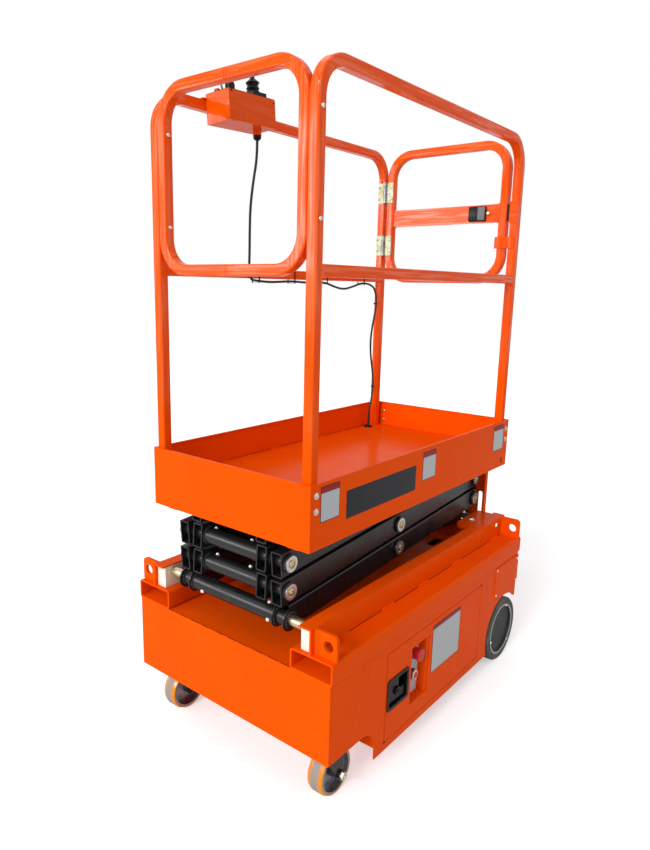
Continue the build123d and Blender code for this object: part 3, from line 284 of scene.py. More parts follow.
def powder_coat(name, colour, thin, painted_highlight, dusty, roughness, peel, glaze):
    """Paint with a slow change of depth, dust low down, and a glaze in streaks along the upper tubes, with a
    paler colour painted into the streaks as a highlight.
    """
    material, shader, place = new_finish(name)
    patch = noise(place, 18.0, 5.0)
    dust = (1.0 - place.axis(2).above(*dust_fades)) * patch.above(0.52, 0.80) * 0.12
    high = place.axis(2).above(*glaze_and_highlight_heights)
    streak = glaze_and_highlight_streaks(place)
    paint = blend(noise(place, 5.0, 3.0).above(0.35, 0.7), (*colour, 1), (*thin, 1))
    # A paler colour along the upper streaks: a painted highlight.
    shade = blend(0.45 * high * streak, paint, (*painted_highlight, 1))
    ripple = noise(place, 260.0, 2.0) * 0.4 + noise(place, 40.0, 2.0) * 0.6
    connect(shader, Base_Color=blend(dust, shade, (*dusty, 1)),
            Roughness=roughness + 0.08 * patch.above(0.4, 0.7) + 0.25 * dust,
            Coat_Weight=glaze * high * (0.35 + 0.65 * streak), Coat_Roughness=0.10,
            Normal=grey_bump(ripple, peel, 0.0004))
    return material


orange_paint = powder_coat("orange_powder_coat", (0.83, 0.080, 0.0005), (0.82, 0.074, 0.0005),
                           (0.90, 0.150, 0.030), (0.60, 0.13, 0.03), 0.20, 0.14, 0.65)
# The control box wears a darker copy of the orange, which is painted shade.
box_paint_shaded = powder_coat("box_powder_coat_shaded", (0.74, 0.080, 0.0010), (0.72, 0.074, 0.0010),
                        (0.75, 0.084, 0.0020), (0.60, 0.13, 0.03), 0.20, 0.14, 0.35)
black_paint = powder_coat("black_powder_coat", (0.0105, 0.0100, 0.0100), (0.0080, 0.0076, 0.0076),
                          (0.012, 0.012, 0.012), (0.05, 0.045, 0.04), 0.27, 0.10, 0.0)
# shadow_line is a dark finish for painted shade in seams and holes.
shadow_line = powder_coat("shadow_line", (0.055, 0.012, 0.004), (0.040, 0.008, 0.003),
                          (0.050, 0.010, 0.004), (0.06, 0.02, 0.01), 0.7, 0.1, 0.0)
mirror_share(0.02, orange_paint, box_paint_shaded)
mirror_share(0.40, black_paint)
mirror_share(0.10, shadow_line)
print("paints:", orange_paint.name, box_paint_shaded.name, black_paint.name, shadow_line.name)

# %% [markdown]
# Bright metal shows its making. Zinc plate has a faint yellow and blue cast in patches, a ground rod has a
# fine grain, and a cast rim is dull and rough. A chrome ball's perfect mirror could stand for all of them,
# but a perfectly even metal looks like plastic, so each is a metallic shader whose colour and roughness
# drift a little.

# %% Bare and plated metals
def metal(name, colour, other, roughness, grain_scale, grain):
    """A metal whose colour and roughness drift."""
    material, shader, place = new_finish(name)
    fine = noise(place, grain_scale, 3.0)
    drift = noise(place, 35.0, 4.0).above(0.4, 0.65)
    connect(shader, Base_Color=blend(drift, (*colour, 1), (*other, 1)), Metallic=1.0,
            Roughness=roughness + 0.15 * fine.above(0.3, 0.7), Normal=grey_bump(fine, grain, 0.0003))
    return material


zinc = metal("zinc_plate", (0.64, 0.64, 0.60), (0.70, 0.68, 0.56), 0.26, 300.0, 0.25)
hinge_zinc = metal("hinge_zinc", (0.46, 0.46, 0.33), (0.36, 0.33, 0.19), 0.42, 260.0, 0.6)
passivated = metal("yellow_zinc", (0.66, 0.58, 0.38), (0.60, 0.46, 0.26), 0.24, 300.0, 0.2)
ground_rod = metal("hard_chrome", (0.80, 0.80, 0.82), (0.74, 0.75, 0.78), 0.10, 500.0, 0.1)
cast_alloy = metal("cast_alloy", (0.34, 0.34, 0.36), (0.20, 0.20, 0.22), 0.26, 220.0, 0.5)
print("metals:", zinc.name, hinge_zinc.name, passivated.name, ground_rod.name, cast_alloy.name)

# %% [markdown]
# Plastics and rubbers are moulded, so they carry a fine texture and no metal shine. They could share one
# grey, but handling polishes some places and scuffs others, and each kind does it in its own colour. So
# every one gets a base colour, a worn colour and a mask of soft patches between them.

# %% Plastics and rubbers
def moulded(name, colour, worn, roughness, grain_scale, grain, wear=0.5):
    """A moulded or cast material with a fine skin and worn patches."""
    material, shader, place = new_finish(name)
    mask = noise(place, 22.0, 5.0).above(0.48, 0.72) * wear
    skin = noise(place, grain_scale, 2.0)
    connect(shader, Base_Color=blend(mask, (*colour, 1), (*worn, 1)), Roughness=roughness + 0.2 * mask,
            Normal=grey_bump(skin, grain, 0.0004))
    return material


black_plastic = moulded("black_moulding", (0.0045, 0.0050, 0.0055), (0.010, 0.011, 0.012), 0.26, 900.0, 0.3)
grey_plastic = moulded("grey_moulding", (0.12, 0.125, 0.13), (0.09, 0.095, 0.10), 0.45, 900.0, 0.3)
cable_rubber = moulded("cable_rubber", (0.012, 0.013, 0.015), (0.035, 0.038, 0.042), 0.42, 1200.0, 0.3)
tyre_rubber = moulded("grey_solid_tyre", (0.070, 0.074, 0.066), (0.15, 0.145, 0.125), 0.62, 500.0, 0.6, 0.8)
nylon = moulded("white_nylon", (0.80, 0.76, 0.66), (0.74, 0.56, 0.28), 0.45, 600.0, 0.3, 0.85)
red_plastic = moulded("red_button", (0.55, 0.012, 0.014), (0.42, 0.016, 0.018), 0.26, 700.0, 0.15)
battery_shell = moulded("battery_shell", (0.03, 0.03, 0.034), (0.07, 0.07, 0.075), 0.5, 400.0, 0.4)
white_enamel = moulded("white_enamel", (0.80, 0.81, 0.80), (0.60, 0.60, 0.58), 0.35, 500.0, 0.2, 0.4)
plate_grey = moulded("plate_field", (0.44, 0.47, 0.49), (0.38, 0.41, 0.43), 0.40, 700.0, 0.1, 0.4)
plate_dark = moulded("plate_border", (0.012, 0.014, 0.018), (0.022, 0.024, 0.028), 0.32, 700.0, 0.1, 0.4)
plate_red = moulded("plate_header", (0.30, 0.012, 0.012), (0.24, 0.014, 0.014), 0.40, 700.0, 0.1, 0.4)
plate_green = moulded("plate_corner", (0.02, 0.16, 0.07), (0.03, 0.13, 0.06), 0.40, 700.0, 0.1, 0.4)
mirror_share(0.16, black_plastic, plate_dark, plate_red, tyre_rubber)
mirror_share(0.30, red_plastic, cable_rubber, plate_grey, battery_shell)
print("rubbers:", cable_rubber.name, tyre_rubber.name, "plates:", plate_grey.name, plate_green.name)

# %% [markdown]
# A caster's tread is cast amber polyurethane, and the floor scrubs it grey along its middle. Two rings of
# faces with two colours would show a hard line, so the wear is a mask: how far a point lies from the tyre's
# middle plane, blurred by a noise. It comes from Object coordinates, which here are the whole machine's
# own metres, so both casters find their middle from one number.

# %% Worn caster tread
caster_middle = 0.305


def worn_tread():
    """Amber at the shoulders and scrubbed grey along the rolling face."""
    material, shader, place = new_finish("amber_polyurethane")
    from_middle = (place.axis(1).away_from(0.0) - caster_middle).away_from(0.0)
    band = 1.0 - (from_middle + noise(place, 60.0, 5.0) * 0.008).above(0.013, 0.021)
    connect(shader, Base_Color=blend(band, (0.66, 0.23, 0.004, 1), (0.27, 0.235, 0.205, 1)),
            Roughness=0.24 + 0.3 * band, Normal=grey_bump(noise(place, 240.0, 3.0), 0.3, 0.0004))
    return material


amber_tread = worn_tread()
print("tread:", amber_tread.name)

# %% [markdown]
# A gate-end wheel has a dark brushed cover inside a pale machined ring. The ring could be a piece of its
# own, but it is flush with the cover, so a mask is enough: the distance from the axle. The brushing is a
# noise along that same distance, which makes it run in circles.

# %% Ringed hub cover
wheel_x, wheel_z = 0.493, 0.122
ring_radius = 0.0895


def ringed_hub():
    """A dark brushed disc with a pale ring outside a radius."""
    material, shader, place = new_finish("ringed_hub")
    along, up = place.axis(0) - wheel_x, place.axis(2) - wheel_z
    squares = along * along + up * up
    radius = squares.maths("SQRT", squares)
    ring = radius.above(ring_radius, ring_radius + 0.0015)
    smear = noise(place, 16.0, 6.0)
    circles = radius.node("ShaderNodeTexNoise", {"noise_dimensions": "1D"},
                          {"W": radius * 400.0, "Scale": 1.0, "Detail": 3.0})
    dark = blend(smear.above(0.42, 0.68), (0.010, 0.016, 0.016, 1), (0.026, 0.036, 0.034, 1))
    connect(shader, Base_Color=blend(ring, dark, (0.36, 0.37, 0.33, 1)),
            Roughness=0.36 + 0.12 * circles + 0.10 * smear, Normal=grey_bump(circles, 0.25, 0.0003))
    return material


hub_cover = ringed_hub()
mirror_share(0.22, hub_cover)
print("hub cover:", hub_cover.name, "ring from", ring_radius, "m")

# %% [markdown]
# Every solid comes with the name of its material slot, as a part list names the steel or the paint. One
# table turns those names into finishes, which is safer than dressing 57 nodes by hand. A few nodes then get
# a finish of their own, because one slot's name covers both a bright bolt and a dull hinge.

# %% Give every solid its finish
finishes = {
    "orange_paint": orange_paint, "black_paint": black_paint, "zinc_steel": zinc, "bright_rod": ground_rod,
    "cast_rim": cast_alloy, "white_nylon": nylon, "grey_rubber": tyre_rubber, "amber_tread": amber_tread,
    "black_plastic": black_plastic, "red_plastic": red_plastic, "battery_case": battery_shell,
    "cable_jacket": cable_rubber,
}


def dress(piece, material):
    """The piece wears one material."""
    piece.data.materials.clear()
    piece.data.materials.append(material)


for part in frame["record"]["subparts"]:
    dress(nodes[part["node"]], finishes[part["material_slot"]])
for side in ("near", "far"):
    dress(nodes[f"drive_hub_{side}"], hub_cover)
    dress(nodes[f"caster_fork_{side}"], black_paint)
for node in ("post_hinge_leaves", "gate_hinge_leaves"):
    dress(nodes[node], hinge_zinc)
dress(nodes["roller_shaft"], passivated)
dress(nodes["control_box"], box_paint_shaded)
dress(cable, cable_rubber)
print("finishes:", len(finishes))

# %% [markdown]
# Small parts are all made the same way: shapes are gathered in one bmesh, and the bmesh becomes one object
# that rides on a body. Each could be an object with its own place, but hundreds of objects are slow to
# handle. Each shape is made about the middle, where its operators are simple, and then moved by a matrix
# to its seat. Faces are smooth, apart from edges sharper than 35 degrees.

# %% From a bmesh to a piece that rides on a body
merge_within = 0.000005


def new_piece(name, shape, body, material):
    """Closes a bmesh and hands it over as a dressed object of one body."""
    bmesh.ops.remove_doubles(shape, verts=shape.verts, dist=merge_within)
    bmesh.ops.recalc_face_normals(shape, faces=shape.faces)
    mesh = bpy.data.meshes.new(name)
    shape.to_mesh(mesh)
    shape.free()
    mesh.shade_smooth()
    mesh.set_sharp_from_angle(angle=math.radians(35))
    made = add_object(name, mesh)
    dress(made, material)
    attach(made, body)
    print(name, "on", body, "has", len(mesh.polygons), "faces")


def put(shape, part, seat=(0, 0, 0), facing=(0, 0, 1), spin=0.0):
    """Adds a small bmesh at its seat, with its +Z turned to face a way."""
    turn = Vector((0, 0, 1)).rotation_difference(Vector(facing)).to_matrix().to_4x4()
    place = Matrix.Translation(seat) @ turn @ Matrix.Rotation(spin, 4, "Z")
    bmesh.ops.transform(part, matrix=place, verts=part.verts)
    loose = bpy.data.meshes.new("loose")
    part.to_mesh(loose)
    part.free()
    shape.from_mesh(loose)
    bpy.data.meshes.remove(loose)


def single_piece(name, part, body, material, seat=(0, 0, 0), facing=(0, 0, 1)):
    """A piece that is only one seated shape."""
    shape = bmesh.new()
    put(shape, part, seat, facing)
    new_piece(name, shape, body, material)


print("helpers: new_piece, put, single_piece")

# %% [markdown]
# Nearly all bought-in parts are either turned on a lathe or cut from flat stock. So two shapes are enough:
# a profile spun about an axis, and a box with rounded edges. Both could be drawn face by face, but the
# spin and bevel operators do it from a few numbers and leave no gaps.

# %% Turned parts and slabs
def turned(profile, sides=20):
    """A small bmesh spun from (radius, height) corners about its Z axis."""
    part = bmesh.new()
    corners = [part.verts.new((radius, 0, height)) for radius, height in profile]
    edges = [part.edges.new(pair) for pair in zip(corners, corners[1:])]
    bmesh.ops.spin(part, geom=corners + edges, cent=(0, 0, 0), axis=(0, 0, 1), angle=math.tau,
                   steps=sides, use_merge=True)
    bmesh.ops.remove_doubles(part, verts=part.verts, dist=merge_within)
    return part


def slab(one, other, edge=0.0, along=None):
    """A box between two corners; its edges are rounded, or only those that run along one axis."""
    low = Vector([min(pair) for pair in zip(one, other)])
    high = Vector([max(pair) for pair in zip(one, other)])
    size = high - low
    part = bmesh.new()
    bmesh.ops.create_cube(part, size=1,
                          matrix=Matrix.Translation((low + high) / 2) @ Matrix.Diagonal((*size, 1)))
    picked = [e for e in part.edges
              if along is None or abs((e.verts[0].co - e.verts[1].co)[along]) > 0.5 * size[along]]
    if edge:
        bmesh.ops.bevel(part, geom=picked, offset=edge, segments=3, profile=0.5, affect="EDGES",
                        material=-1)
    return part


print("shapes: turned, slab")

# %% [markdown]
# A hex head is a six-sided stub with a thin turned washer under it. A domed head is a short turned curve
# with a socket sunk in it. A flat disc would do from afar, but the edge of a real screw catches the light.
# Both are given in parts of their radius, so every screw on the machine comes from the same two drawings.

# %% Screw heads
head_turn = 0.3
dome = [(0, 0), (1, 0), (1, 0.14), (0.92, 0.36), (0.72, 0.54), (0.46, 0.63), (0.40, 0.62), (0.38, 0.34),
        (0, 0.34)]


def hex_head(shape, seat, facing, radius, washer=True):
    """A hexagon head, with a washer where one belongs."""
    base = 0.25 * radius if washer else 0.0
    if washer:
        rim = [(0, 0), (1.7 * radius, 0), (1.7 * radius, 0.8 * base), (1.6 * radius, base), (0, base)]
        put(shape, turned(rim), seat, facing)
    head = bmesh.new()
    bmesh.ops.create_cone(head, cap_ends=True, segments=6, radius1=1.15 * radius, radius2=1.15 * radius,
                          depth=0.75 * radius, matrix=Matrix.Translation((0, 0, base + 0.375 * radius)))
    top = [e for e in head.edges if all(v.co.z > base + 0.5 * radius for v in e.verts)]
    bmesh.ops.bevel(head, geom=top, offset=0.14 * radius, segments=2, profile=0.5, affect="EDGES",
                    material=-1)
    put(shape, head, seat, facing, head_turn)


def domed_head(shape, seat, facing, radius):
    """A low dome with a round socket."""
    put(shape, turned([(r * radius, h * radius) for r, h in dome]), seat, facing)


print("corners of a dome:", len(dome))

# %% [markdown]
# A weld is a row of small frozen puddles, each laid a little past the last. One long rounded strip would be
# lighter, but it looks like sealant. Here each puddle is a squashed icosphere, and they overlap by half, so
# the row keeps its ripples. Round a tube the row follows a circle.

# %% Weld beads
def puddle(shape, seat, run, width, number):
    """One frozen puddle, squashed along its run, a little uneven from one to the next."""
    part = bmesh.new()
    bmesh.ops.create_icosphere(part, subdivisions=2, radius=width / 2)
    uneven = 1.0 + 0.16 * math.sin(2.7 * number) + 0.08 * math.sin(6.1 * number)
    bmesh.ops.scale(part, vec=(uneven, uneven, 0.75), verts=part.verts)
    put(shape, part, seat, run)


def straight_bead(shape, start, end, width):
    """A row of puddles from one point to another."""
    start, end = Vector(start), Vector(end)
    count = max(2, round((end - start).length / (0.42 * width)))
    for n in range(count + 1):
        puddle(shape, start.lerp(end, n / count), end - start, width, n)


def ring_bead(shape, centre, radius, width):
    """A row of puddles round a tube that runs along Y."""
    count = round(math.tau * radius / (0.55 * width))
    for n in range(count):
        angle = math.tau * n / count
        spoke = Vector((math.cos(angle), 0, math.sin(angle)))
        puddle(shape, Vector(centre) + spoke * radius, (-spoke.z, 0, spoke.x), width, n)


print("beads: straight_bead, ring_bead")

# %% [markdown]
# The slide rails stand on the fork tubes and are stitch welded at their feet, with open seams between the
# stitches. The lifting lugs and the tray's front edge are welded too. A seam could be a real gap, but a gap
# of a few tenths of a millimetre would be lost in a mesh, so the shade inside each seam is painted as a
# thin dark strip.

# %% Stitches, and painted shade in the seams, along the rails, lugs and tray
rails, lugs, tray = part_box("slide_rails"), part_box("lifting_lugs"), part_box("top_tray")
tube_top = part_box("fork_tubes")[1].z
tray_edge, tray_top = tray[0].x, tray[1].z
stitches = [(-0.475, -0.435), (-0.262, -0.204), (-0.052, 0.004), (0.178, 0.233), (0.478, 0.538)]
welds, seam_shade = bmesh.new(), bmesh.new()
for side in (-1, 1):
    wall, foot = side * rails[1].y, side * (rails[1].y + 0.0008)
    for start, end in stitches:
        straight_bead(welds, (start, foot, tube_top + 0.0008), (end, foot, tube_top + 0.0008), 0.0075)
    # A dark strip of painted shade where the rail's foot meets the tube.
    put(seam_shade, slab((lugs[0].x + 0.018, wall, tube_top), (lugs[1].x - 0.018, foot, tube_top + 0.0014)))
    for x in (lugs[0].x + 0.0105, lugs[1].x - 0.0105):
        straight_bead(welds, (x, side * 0.325, tube_top + 0.001), (x, side * 0.381, tube_top + 0.001), 0.0055)
for number in range(-4, 5):
    half = 0.010 + 0.006 * math.sin(2.1 * number)
    straight_bead(welds, (tray_edge + 0.0012, number * 0.052 - half, tray_top + 0.0002),
                  (tray_edge + 0.0012, number * 0.052 + half, tray_top + 0.0002), 0.0042)
put(seam_shade, slab((tray_edge + 0.0034, -0.242, tray_top), (tray_edge + 0.0046, 0.242, tray_top + 0.0005)))
new_piece("rail_stitch_welds", welds, "chassis", orange_paint)
new_piece("rail_foot_seam_shade", seam_shade, "chassis", shadow_line)

# %% [markdown]
# The stack's cross tubes are welded all round where they meet the arms, and so are the rollers' discs. The
# rings could all be one piece, but then they would stay behind when the stack opens. Each ring rides on
# the arm pair that it holds together, so it turns with it.

# %% Tube welds on the arm stack
pin_x = 0.555
arm_levels = {"arms_outer_1": 0.512, "arms_inner_1": 0.592, "arms_inner_2": 0.672, "arms_inner_3": 0.752}
for body, height in arm_levels.items():
    rings = bmesh.new()
    faces = (0.161, 0.169, 0.2035, 0.2095) if body == "arms_outer_1" else (0.1065,)
    for side in (-1, 1):
        for face in faces:
            radius = 0.0245 if face < 0.17 else 0.0215
            ring_bead(rings, (-pin_x, side * face, height), radius, 0.0055)
    new_piece(f"tube_welds_{body}", rings, body, black_paint)

# %% [markdown]
# The same tubes carry grease fittings: small white-capped bolts that stand out of the black. They could be
# seated by eye, but a fitting always points away from the tube's middle, so each is given by its place
# along the tube and the way that it leans, and the tube's radius does the rest.

# %% Grease fittings
tube_radius = 0.0240
down_and_out = (-0.024, 0, -0.014)
fittings = {
    "arms_inner_2": [(0.094, (0.023, 0, 0.030)), (-0.049, (0.025, 0, 0.030))],
    "arms_inner_1": [(0.084, (0.013, 0, 0.030)), (-0.050, (0.012, 0, 0.030))],
    "arms_outer_1": [(0.117, down_and_out), (-0.130, (0.002, 0, 0.030)), (-0.145, down_and_out)],
}
for body, spots in fittings.items():
    caps = bmesh.new()
    for y, lean in spots:
        out = Vector(lean).normalized()
        seat = Vector((-pin_x, y, arm_levels[body])) + out * tube_radius
        hex_head(caps, seat, out, 0.0052, washer=False)
        domed_head(caps, seat + out * 0.0036, out, 0.0042)
    new_piece(f"grease_fittings_{body}", caps, body, white_enamel)

# %% [markdown]
# Each joint pin ends in a plated head with a ring groove, and the middle of the head is the pin itself,
# turned and passivated yellow, with the small centre hole of the lathe. A colour alone could mark it, but
# its step and hole catch the light, so it is a thin turned disc on the head.

# %% Yellow pin ends
pin_profile = [(0, 0), (0.0100, 0), (0.0098, 0.0012), (0.0088, 0.0018), (0.0030, 0.0018), (0.0018, 0.0006),
               (0, 0.0002)]
stack_low, stage_rise, head_face = 0.512, 0.08, 0.2100
for stage in (1, 2, 3):
    ends = bmesh.new()
    low = stack_low + stage_rise * (stage - 1)
    for x, z in ((-pin_x, low + stage_rise), (0.0, low + stage_rise / 2), (pin_x, low)):
        if (stage, x) == (3, -pin_x):
            continue
        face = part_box("pivot_pins_1")[1].y if (stage, x) == (1, pin_x) else head_face
        for side in (-1, 1):
            put(ends, turned(pin_profile, 28), (x, side * (face - 0.0001), z), (0, side, 0))
    new_piece(f"pin_ends_{stage}", ends, f"arms_inner_{stage}", passivated)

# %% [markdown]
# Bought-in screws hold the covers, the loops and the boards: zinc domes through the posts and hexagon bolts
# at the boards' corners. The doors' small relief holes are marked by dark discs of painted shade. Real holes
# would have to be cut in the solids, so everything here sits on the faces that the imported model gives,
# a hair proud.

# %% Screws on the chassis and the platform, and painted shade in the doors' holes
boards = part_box("toe_boards")
guard_face = -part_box("guard_rail_near")[0].y
caster_post_x, door_face = -0.573, 0.3799
# A thin disc whose dark finish is the painted shade of a relief hole.
hole = [(0, 0), (0.0042, 0), (0.0042, 0.0004), (0, 0.0004)]
chassis_screws, hole_shade, platform_screws = bmesh.new(), bmesh.new(), bmesh.new()
for side in (-1, 1):
    for x, z in ((0.4045, 0.388), (0.4075, 0.290)):
        domed_head(chassis_screws, (x, side * 0.384, z), (0, side, 0), 0.0045)
    for x, z in ((0.2828, 0.3738), (-0.3285, 0.0942)):
        put(hole_shade, turned(hole), (x, side * door_face, z), (0, side, 0))
    for x, z in ((-0.574, 0.883), (-0.574, 0.842), (0.576, 0.879), (0.576, 0.840)):
        hex_head(platform_screws, (x, side * boards[1].y, z), (0, side, 0), 0.0052)
    for z in (1.7805, 1.5415):
        domed_head(platform_screws, (caster_post_x, side * guard_face, z), (0, side, 0), 0.0058)
        domed_head(platform_screws, (caster_post_x, side * 0.2327, z), (0, -side, 0), 0.0058)
    for z in (0.8757, 0.8368):
        domed_head(platform_screws, (boards[1].x - 0.003, side * 0.252, z), (-1, 0, 0), 0.0062)
bracket_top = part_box("pivot_brackets")[1].z
for side in (-1, 1):
    hex_head(chassis_screws, (0.458, side * 0.2435, bracket_top), (0, 0, 1), 0.0075)
new_piece("chassis_screws", chassis_screws, "chassis", zinc)
new_piece("door_corner_hole_shade", hole_shade, "chassis", shadow_line)
new_piece("platform_screws", platform_screws, "platform", zinc)

# %% [markdown]
# A gate-end wheel's cover is held by three painted screws, and a caster's axle bolt ends in a nut with the
# bolt's tip showing. They could ride on the chassis, as wheels look the same all round. But the cover's
# screws turn with the wheel and the nut swivels with the fork, so each rides on what it holds.

# %% Cover screws and axle nuts
screw_circle = 0.0912
caster_axle = (-0.492, 0.070)
bolt_tip = [(0.0, 0.0086), (0.0052, 0.0086), (0.0060, 0.0094), (0.0060, 0.0104), (0.0048, 0.0110),
            (0, 0.0110)]
for side, sign in (("near", -1), ("far", 1)):
    screws, nuts = bmesh.new(), bmesh.new()
    for angle in (math.radians(72), math.radians(193), math.radians(313)):
        seat = (wheel_x + screw_circle * math.cos(angle), sign * 0.3808,
                wheel_z + screw_circle * math.sin(angle))
        domed_head(screws, seat, (0, sign, 0), 0.0040)
    new_piece(f"hub_screws_{side}", screws, f"drive_wheel_{side}", white_enamel)
    seat = (caster_axle[0], sign * 0.3505, caster_axle[1])
    hex_head(nuts, seat, (0, sign, 0), 0.0112, washer=False)
    put(nuts, turned(bolt_tip), seat, (0, sign, 0))
    new_piece(f"caster_nuts_{side}", nuts, f"caster_swivel_{side}", zinc)

# %% [markdown]
# The rating plates are blank here: a dark backing with rounded corners, a pale field and a red header
# band, or the dark backing alone for the long one. They could be one flat plate with a pattern, but crisp
# edges come easier from geometry. Each layer stands a tenth of a millimetre or so over the one below,
# which keeps them from flickering into each other.

# %% Blank plates
def blank_plate(name, body, x, z, y, header):
    """Backing, field and header band on a face that looks along -Y."""
    def layer(inset, thick, low_z, high_z, corner):
        return slab((x[0] + inset, y, low_z + inset), (x[1] - inset, y - thick, high_z - inset),
                    corner, along=1)

    backing = layer(0, 0.0004, z[0], z[1], 0.003)
    single_piece(f"{name}_backing", backing, body, plate_dark)
    if header:
        split = z[1] - header
        field = layer(0.0022, 0.0007, z[0], split + 0.0022, 0.002)
        band = layer(0.0022, 0.0007, split - 0.0010, z[1], 0.0015)
        single_piece(f"{name}_field", field, body, plate_grey)
        single_piece(f"{name}_band", band, body, plate_red)


board_face = boards[0].y
for name, x, z, header in (
    ("board_plate_caster", (-0.5555, -0.4750), (0.8075, 0.9020), 0.018),
    ("board_plate_long", (-0.4440, -0.0850), (0.7895, 0.8675), 0),
    ("board_plate_middle", (-0.0445, 0.0375), (0.8085, 0.8990), 0.018),
    ("board_plate_gate", (0.4710, 0.5560), (0.8080, 0.9020), 0.018),
):
    blank_plate(name, "platform", x, z, board_face, header)
blank_plate("door_plate", "door_near", (-0.0640, 0.1240), (0.1930, 0.3560), -0.3800, 0.014)

# %% [markdown]
# The ground controls sit on a pale printed sheet at the back of the niche; here it is blank, with one green
# block. The push button has a bright bezel, and the stop button a moulded rim, a collar and a skirt. They
# could be cylinders, but the light that runs round a turned edge is what makes a button look moulded, so
# each is a turned profile.

# %% Ground controls
button_x, stop_z, push_z = -0.137, 0.290, 0.216
sheet_y = -0.3517
outward = (0, -1, 0)
sheet = slab((-0.186, sheet_y - 0.0006, 0.150), (-0.104, sheet_y, 0.329), 0.003, along=1)
single_piece("niche_sheet", sheet, "chassis", plate_grey)
block = slab((-0.178, sheet_y - 0.0009, 0.188), (-0.156, sheet_y - 0.0004, 0.246), 0.0015, along=1)
single_piece("niche_green_block", block, "chassis", plate_green)
bezel = turned([(0.0104, -0.001), (0.0152, -0.001), (0.0156, 0.0016), (0.0146, 0.0030), (0.0118, 0.0034),
                (0.0104, 0.0022), (0.0104, -0.001)], 32)
single_piece("push_button_bezel", bezel, "chassis", zinc, (button_x, -0.3637, push_z), outward)
rim = turned([(0, 0), (0.0120, 0), (0.0165, -0.0012), (0.0200, -0.0030), (0.0209, -0.0052),
              (0.0204, -0.0078), (0.0196, -0.0078), (0.0150, -0.0020), (0, -0.0010)], 36)
single_piece("stop_button_rim", rim, "chassis", red_plastic,
             (button_x, -0.3841, stop_z), outward)
collars = bmesh.new()
for inner, outer, shoulder, flat, height, z in ((0.0126, 0.0196, 0.0052, 0.0180, 0.0066, stop_z),
                                                (0.0102, 0.0172, 0.0040, 0.0158, 0.0055, push_z)):
    collar = [(inner, 0), (outer, 0), (outer, shoulder), (flat, height), (inner, height), (inner, 0)]
    put(collars, turned(collar, 32), (button_x, sheet_y - 0.0006, z), outward)
new_piece("button_collars", collars, "chassis", black_plastic)
skirt = turned([(0.0120, 0), (0.0178, 0), (0.0186, 0.0030), (0.0186, 0.0100), (0.0170, 0.0135),
                (0.0120, 0.0135), (0.0120, 0)], 36)
single_piece("stop_button_skirt", skirt, "chassis", red_plastic,
             (button_x, sheet_y - 0.0070, stop_z), outward)

# %% [markdown]
# Each door's latch has a round key barrel with a blade across it. It could belong to the latch's solid, but
# its rounded lip is only two millimetres high. It is a turned disc and a thin slab, turned a little, as
# keys are left, and it rides on the door.

# %% Latch barrels
lip = [(0.0, 0.0002), (0.0060, 0.0002), (0.0068, 0.0016), (0.0096, 0.0024), (0.0124, 0.0016),
       (0.0130, -0.0010), (0.0130, -0.0030), (0, -0.0030)]
for side, sign in (("near", -1), ("far", 1)):
    barrel, seat = bmesh.new(), (-0.265, sign * 0.380, 0.2315)
    put(barrel, turned(lip, 32), seat, (0, sign, 0))
    put(barrel, slab((-0.0010, -0.0048, 0.0), (0.0010, 0.0048, 0.0026), 0.0004), seat, (0, sign, 0), 0.5)
    new_piece(f"latch_barrel_{side}", barrel, f"door_{side}", black_plastic)

# %% [markdown]
# The gate's slide latch is a black housing with a grey thumb piece that ends in a raised lip. A plain box
# would read as a block of rubber, so the housing's edges are rounded more than the thumb piece's. Both ride
# on the gate, and both are seated from the front face of the latch's own solid.

# %% Gate latch
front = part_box("gate_latch")[0].x
housing = slab((front - 0.0012, -0.1735, 1.6325), (front + 0.0085, -0.1070, 1.6835), 0.0024)
single_piece("gate_latch_housing", housing, "gate", black_plastic)
thumb = bmesh.new()
put(thumb, slab((front - 0.0042, -0.1722, 1.6350), (front + 0.0010, -0.1440, 1.6810), 0.0016))
put(thumb, slab((front - 0.0062, -0.1722, 1.6350), (front - 0.0030, -0.1660, 1.6810), 0.0010))
new_piece("gate_latch_thumb", thumb, "gate", grey_plastic)

# %% [markdown]
# The hinges are plated, and each leaf is held by screws at its corners. A barrel with capped ends stands on
# the axis that the gate turns about. It could follow the gate or stay with the post, as a turned part
# looks the same at every angle. Here it stays with the post, and only the gate's own screws swing.

# %% Hinge barrels and screws
hinge_x, hinge_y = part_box("gate_hinge_leaves")[0].x, 0.2570
hinge_heights = (1.757, 1.556)
gate_screws, post_screws, barrels = bmesh.new(), bmesh.new(), bmesh.new()
domed_head(gate_screws, (0.534, -0.1860, 1.6575), (-1, 0, 0), 0.0062)
for middle in hinge_heights:
    for step in (-0.022, 0.022):
        domed_head(gate_screws, (hinge_x + 0.0090, 0.2310, middle + step), (-1, 0, 0), 0.0042)
        domed_head(post_screws, (hinge_x + 0.0090, 0.2860, middle + step), (-1, 0, 0), 0.0042)
    domed_head(gate_screws, (hinge_x + 0.0090, 0.2420, middle), (-1, 0, 0), 0.0048)
    tube = turned([(0, -0.029), (0.0066, -0.029), (0.0066, 0.029), (0, 0.029)])
    put(barrels, tube, (hinge_x + 0.0060, hinge_y, middle))
    for end in (-0.0395, 0.0355):
        cap = turned([(0, 0), (0.0074, 0), (0.0076, 0.0010), (0.0074, 0.0040), (0, 0.0040)])
        put(barrels, cap, (hinge_x + 0.0060, hinge_y, middle + end))
new_piece("hinge_barrels", barrels, "platform", cast_alloy)
new_piece("gate_screws", gate_screws, "gate", zinc)
new_piece("hinge_post_screws", post_screws, "platform", cast_alloy)

# %% [markdown]
# The gate's flat bar is welded to its loop with lumpy beads. The guards show a weld where the mid rails and
# the boards meet the posts, and one at the middle of each of the end loop's bars. A bump in the paint could
# hint at them, but a bead stands out from the tube's edge, so these are real rows of puddles. They were
# painted with the guards and wear the same finish.

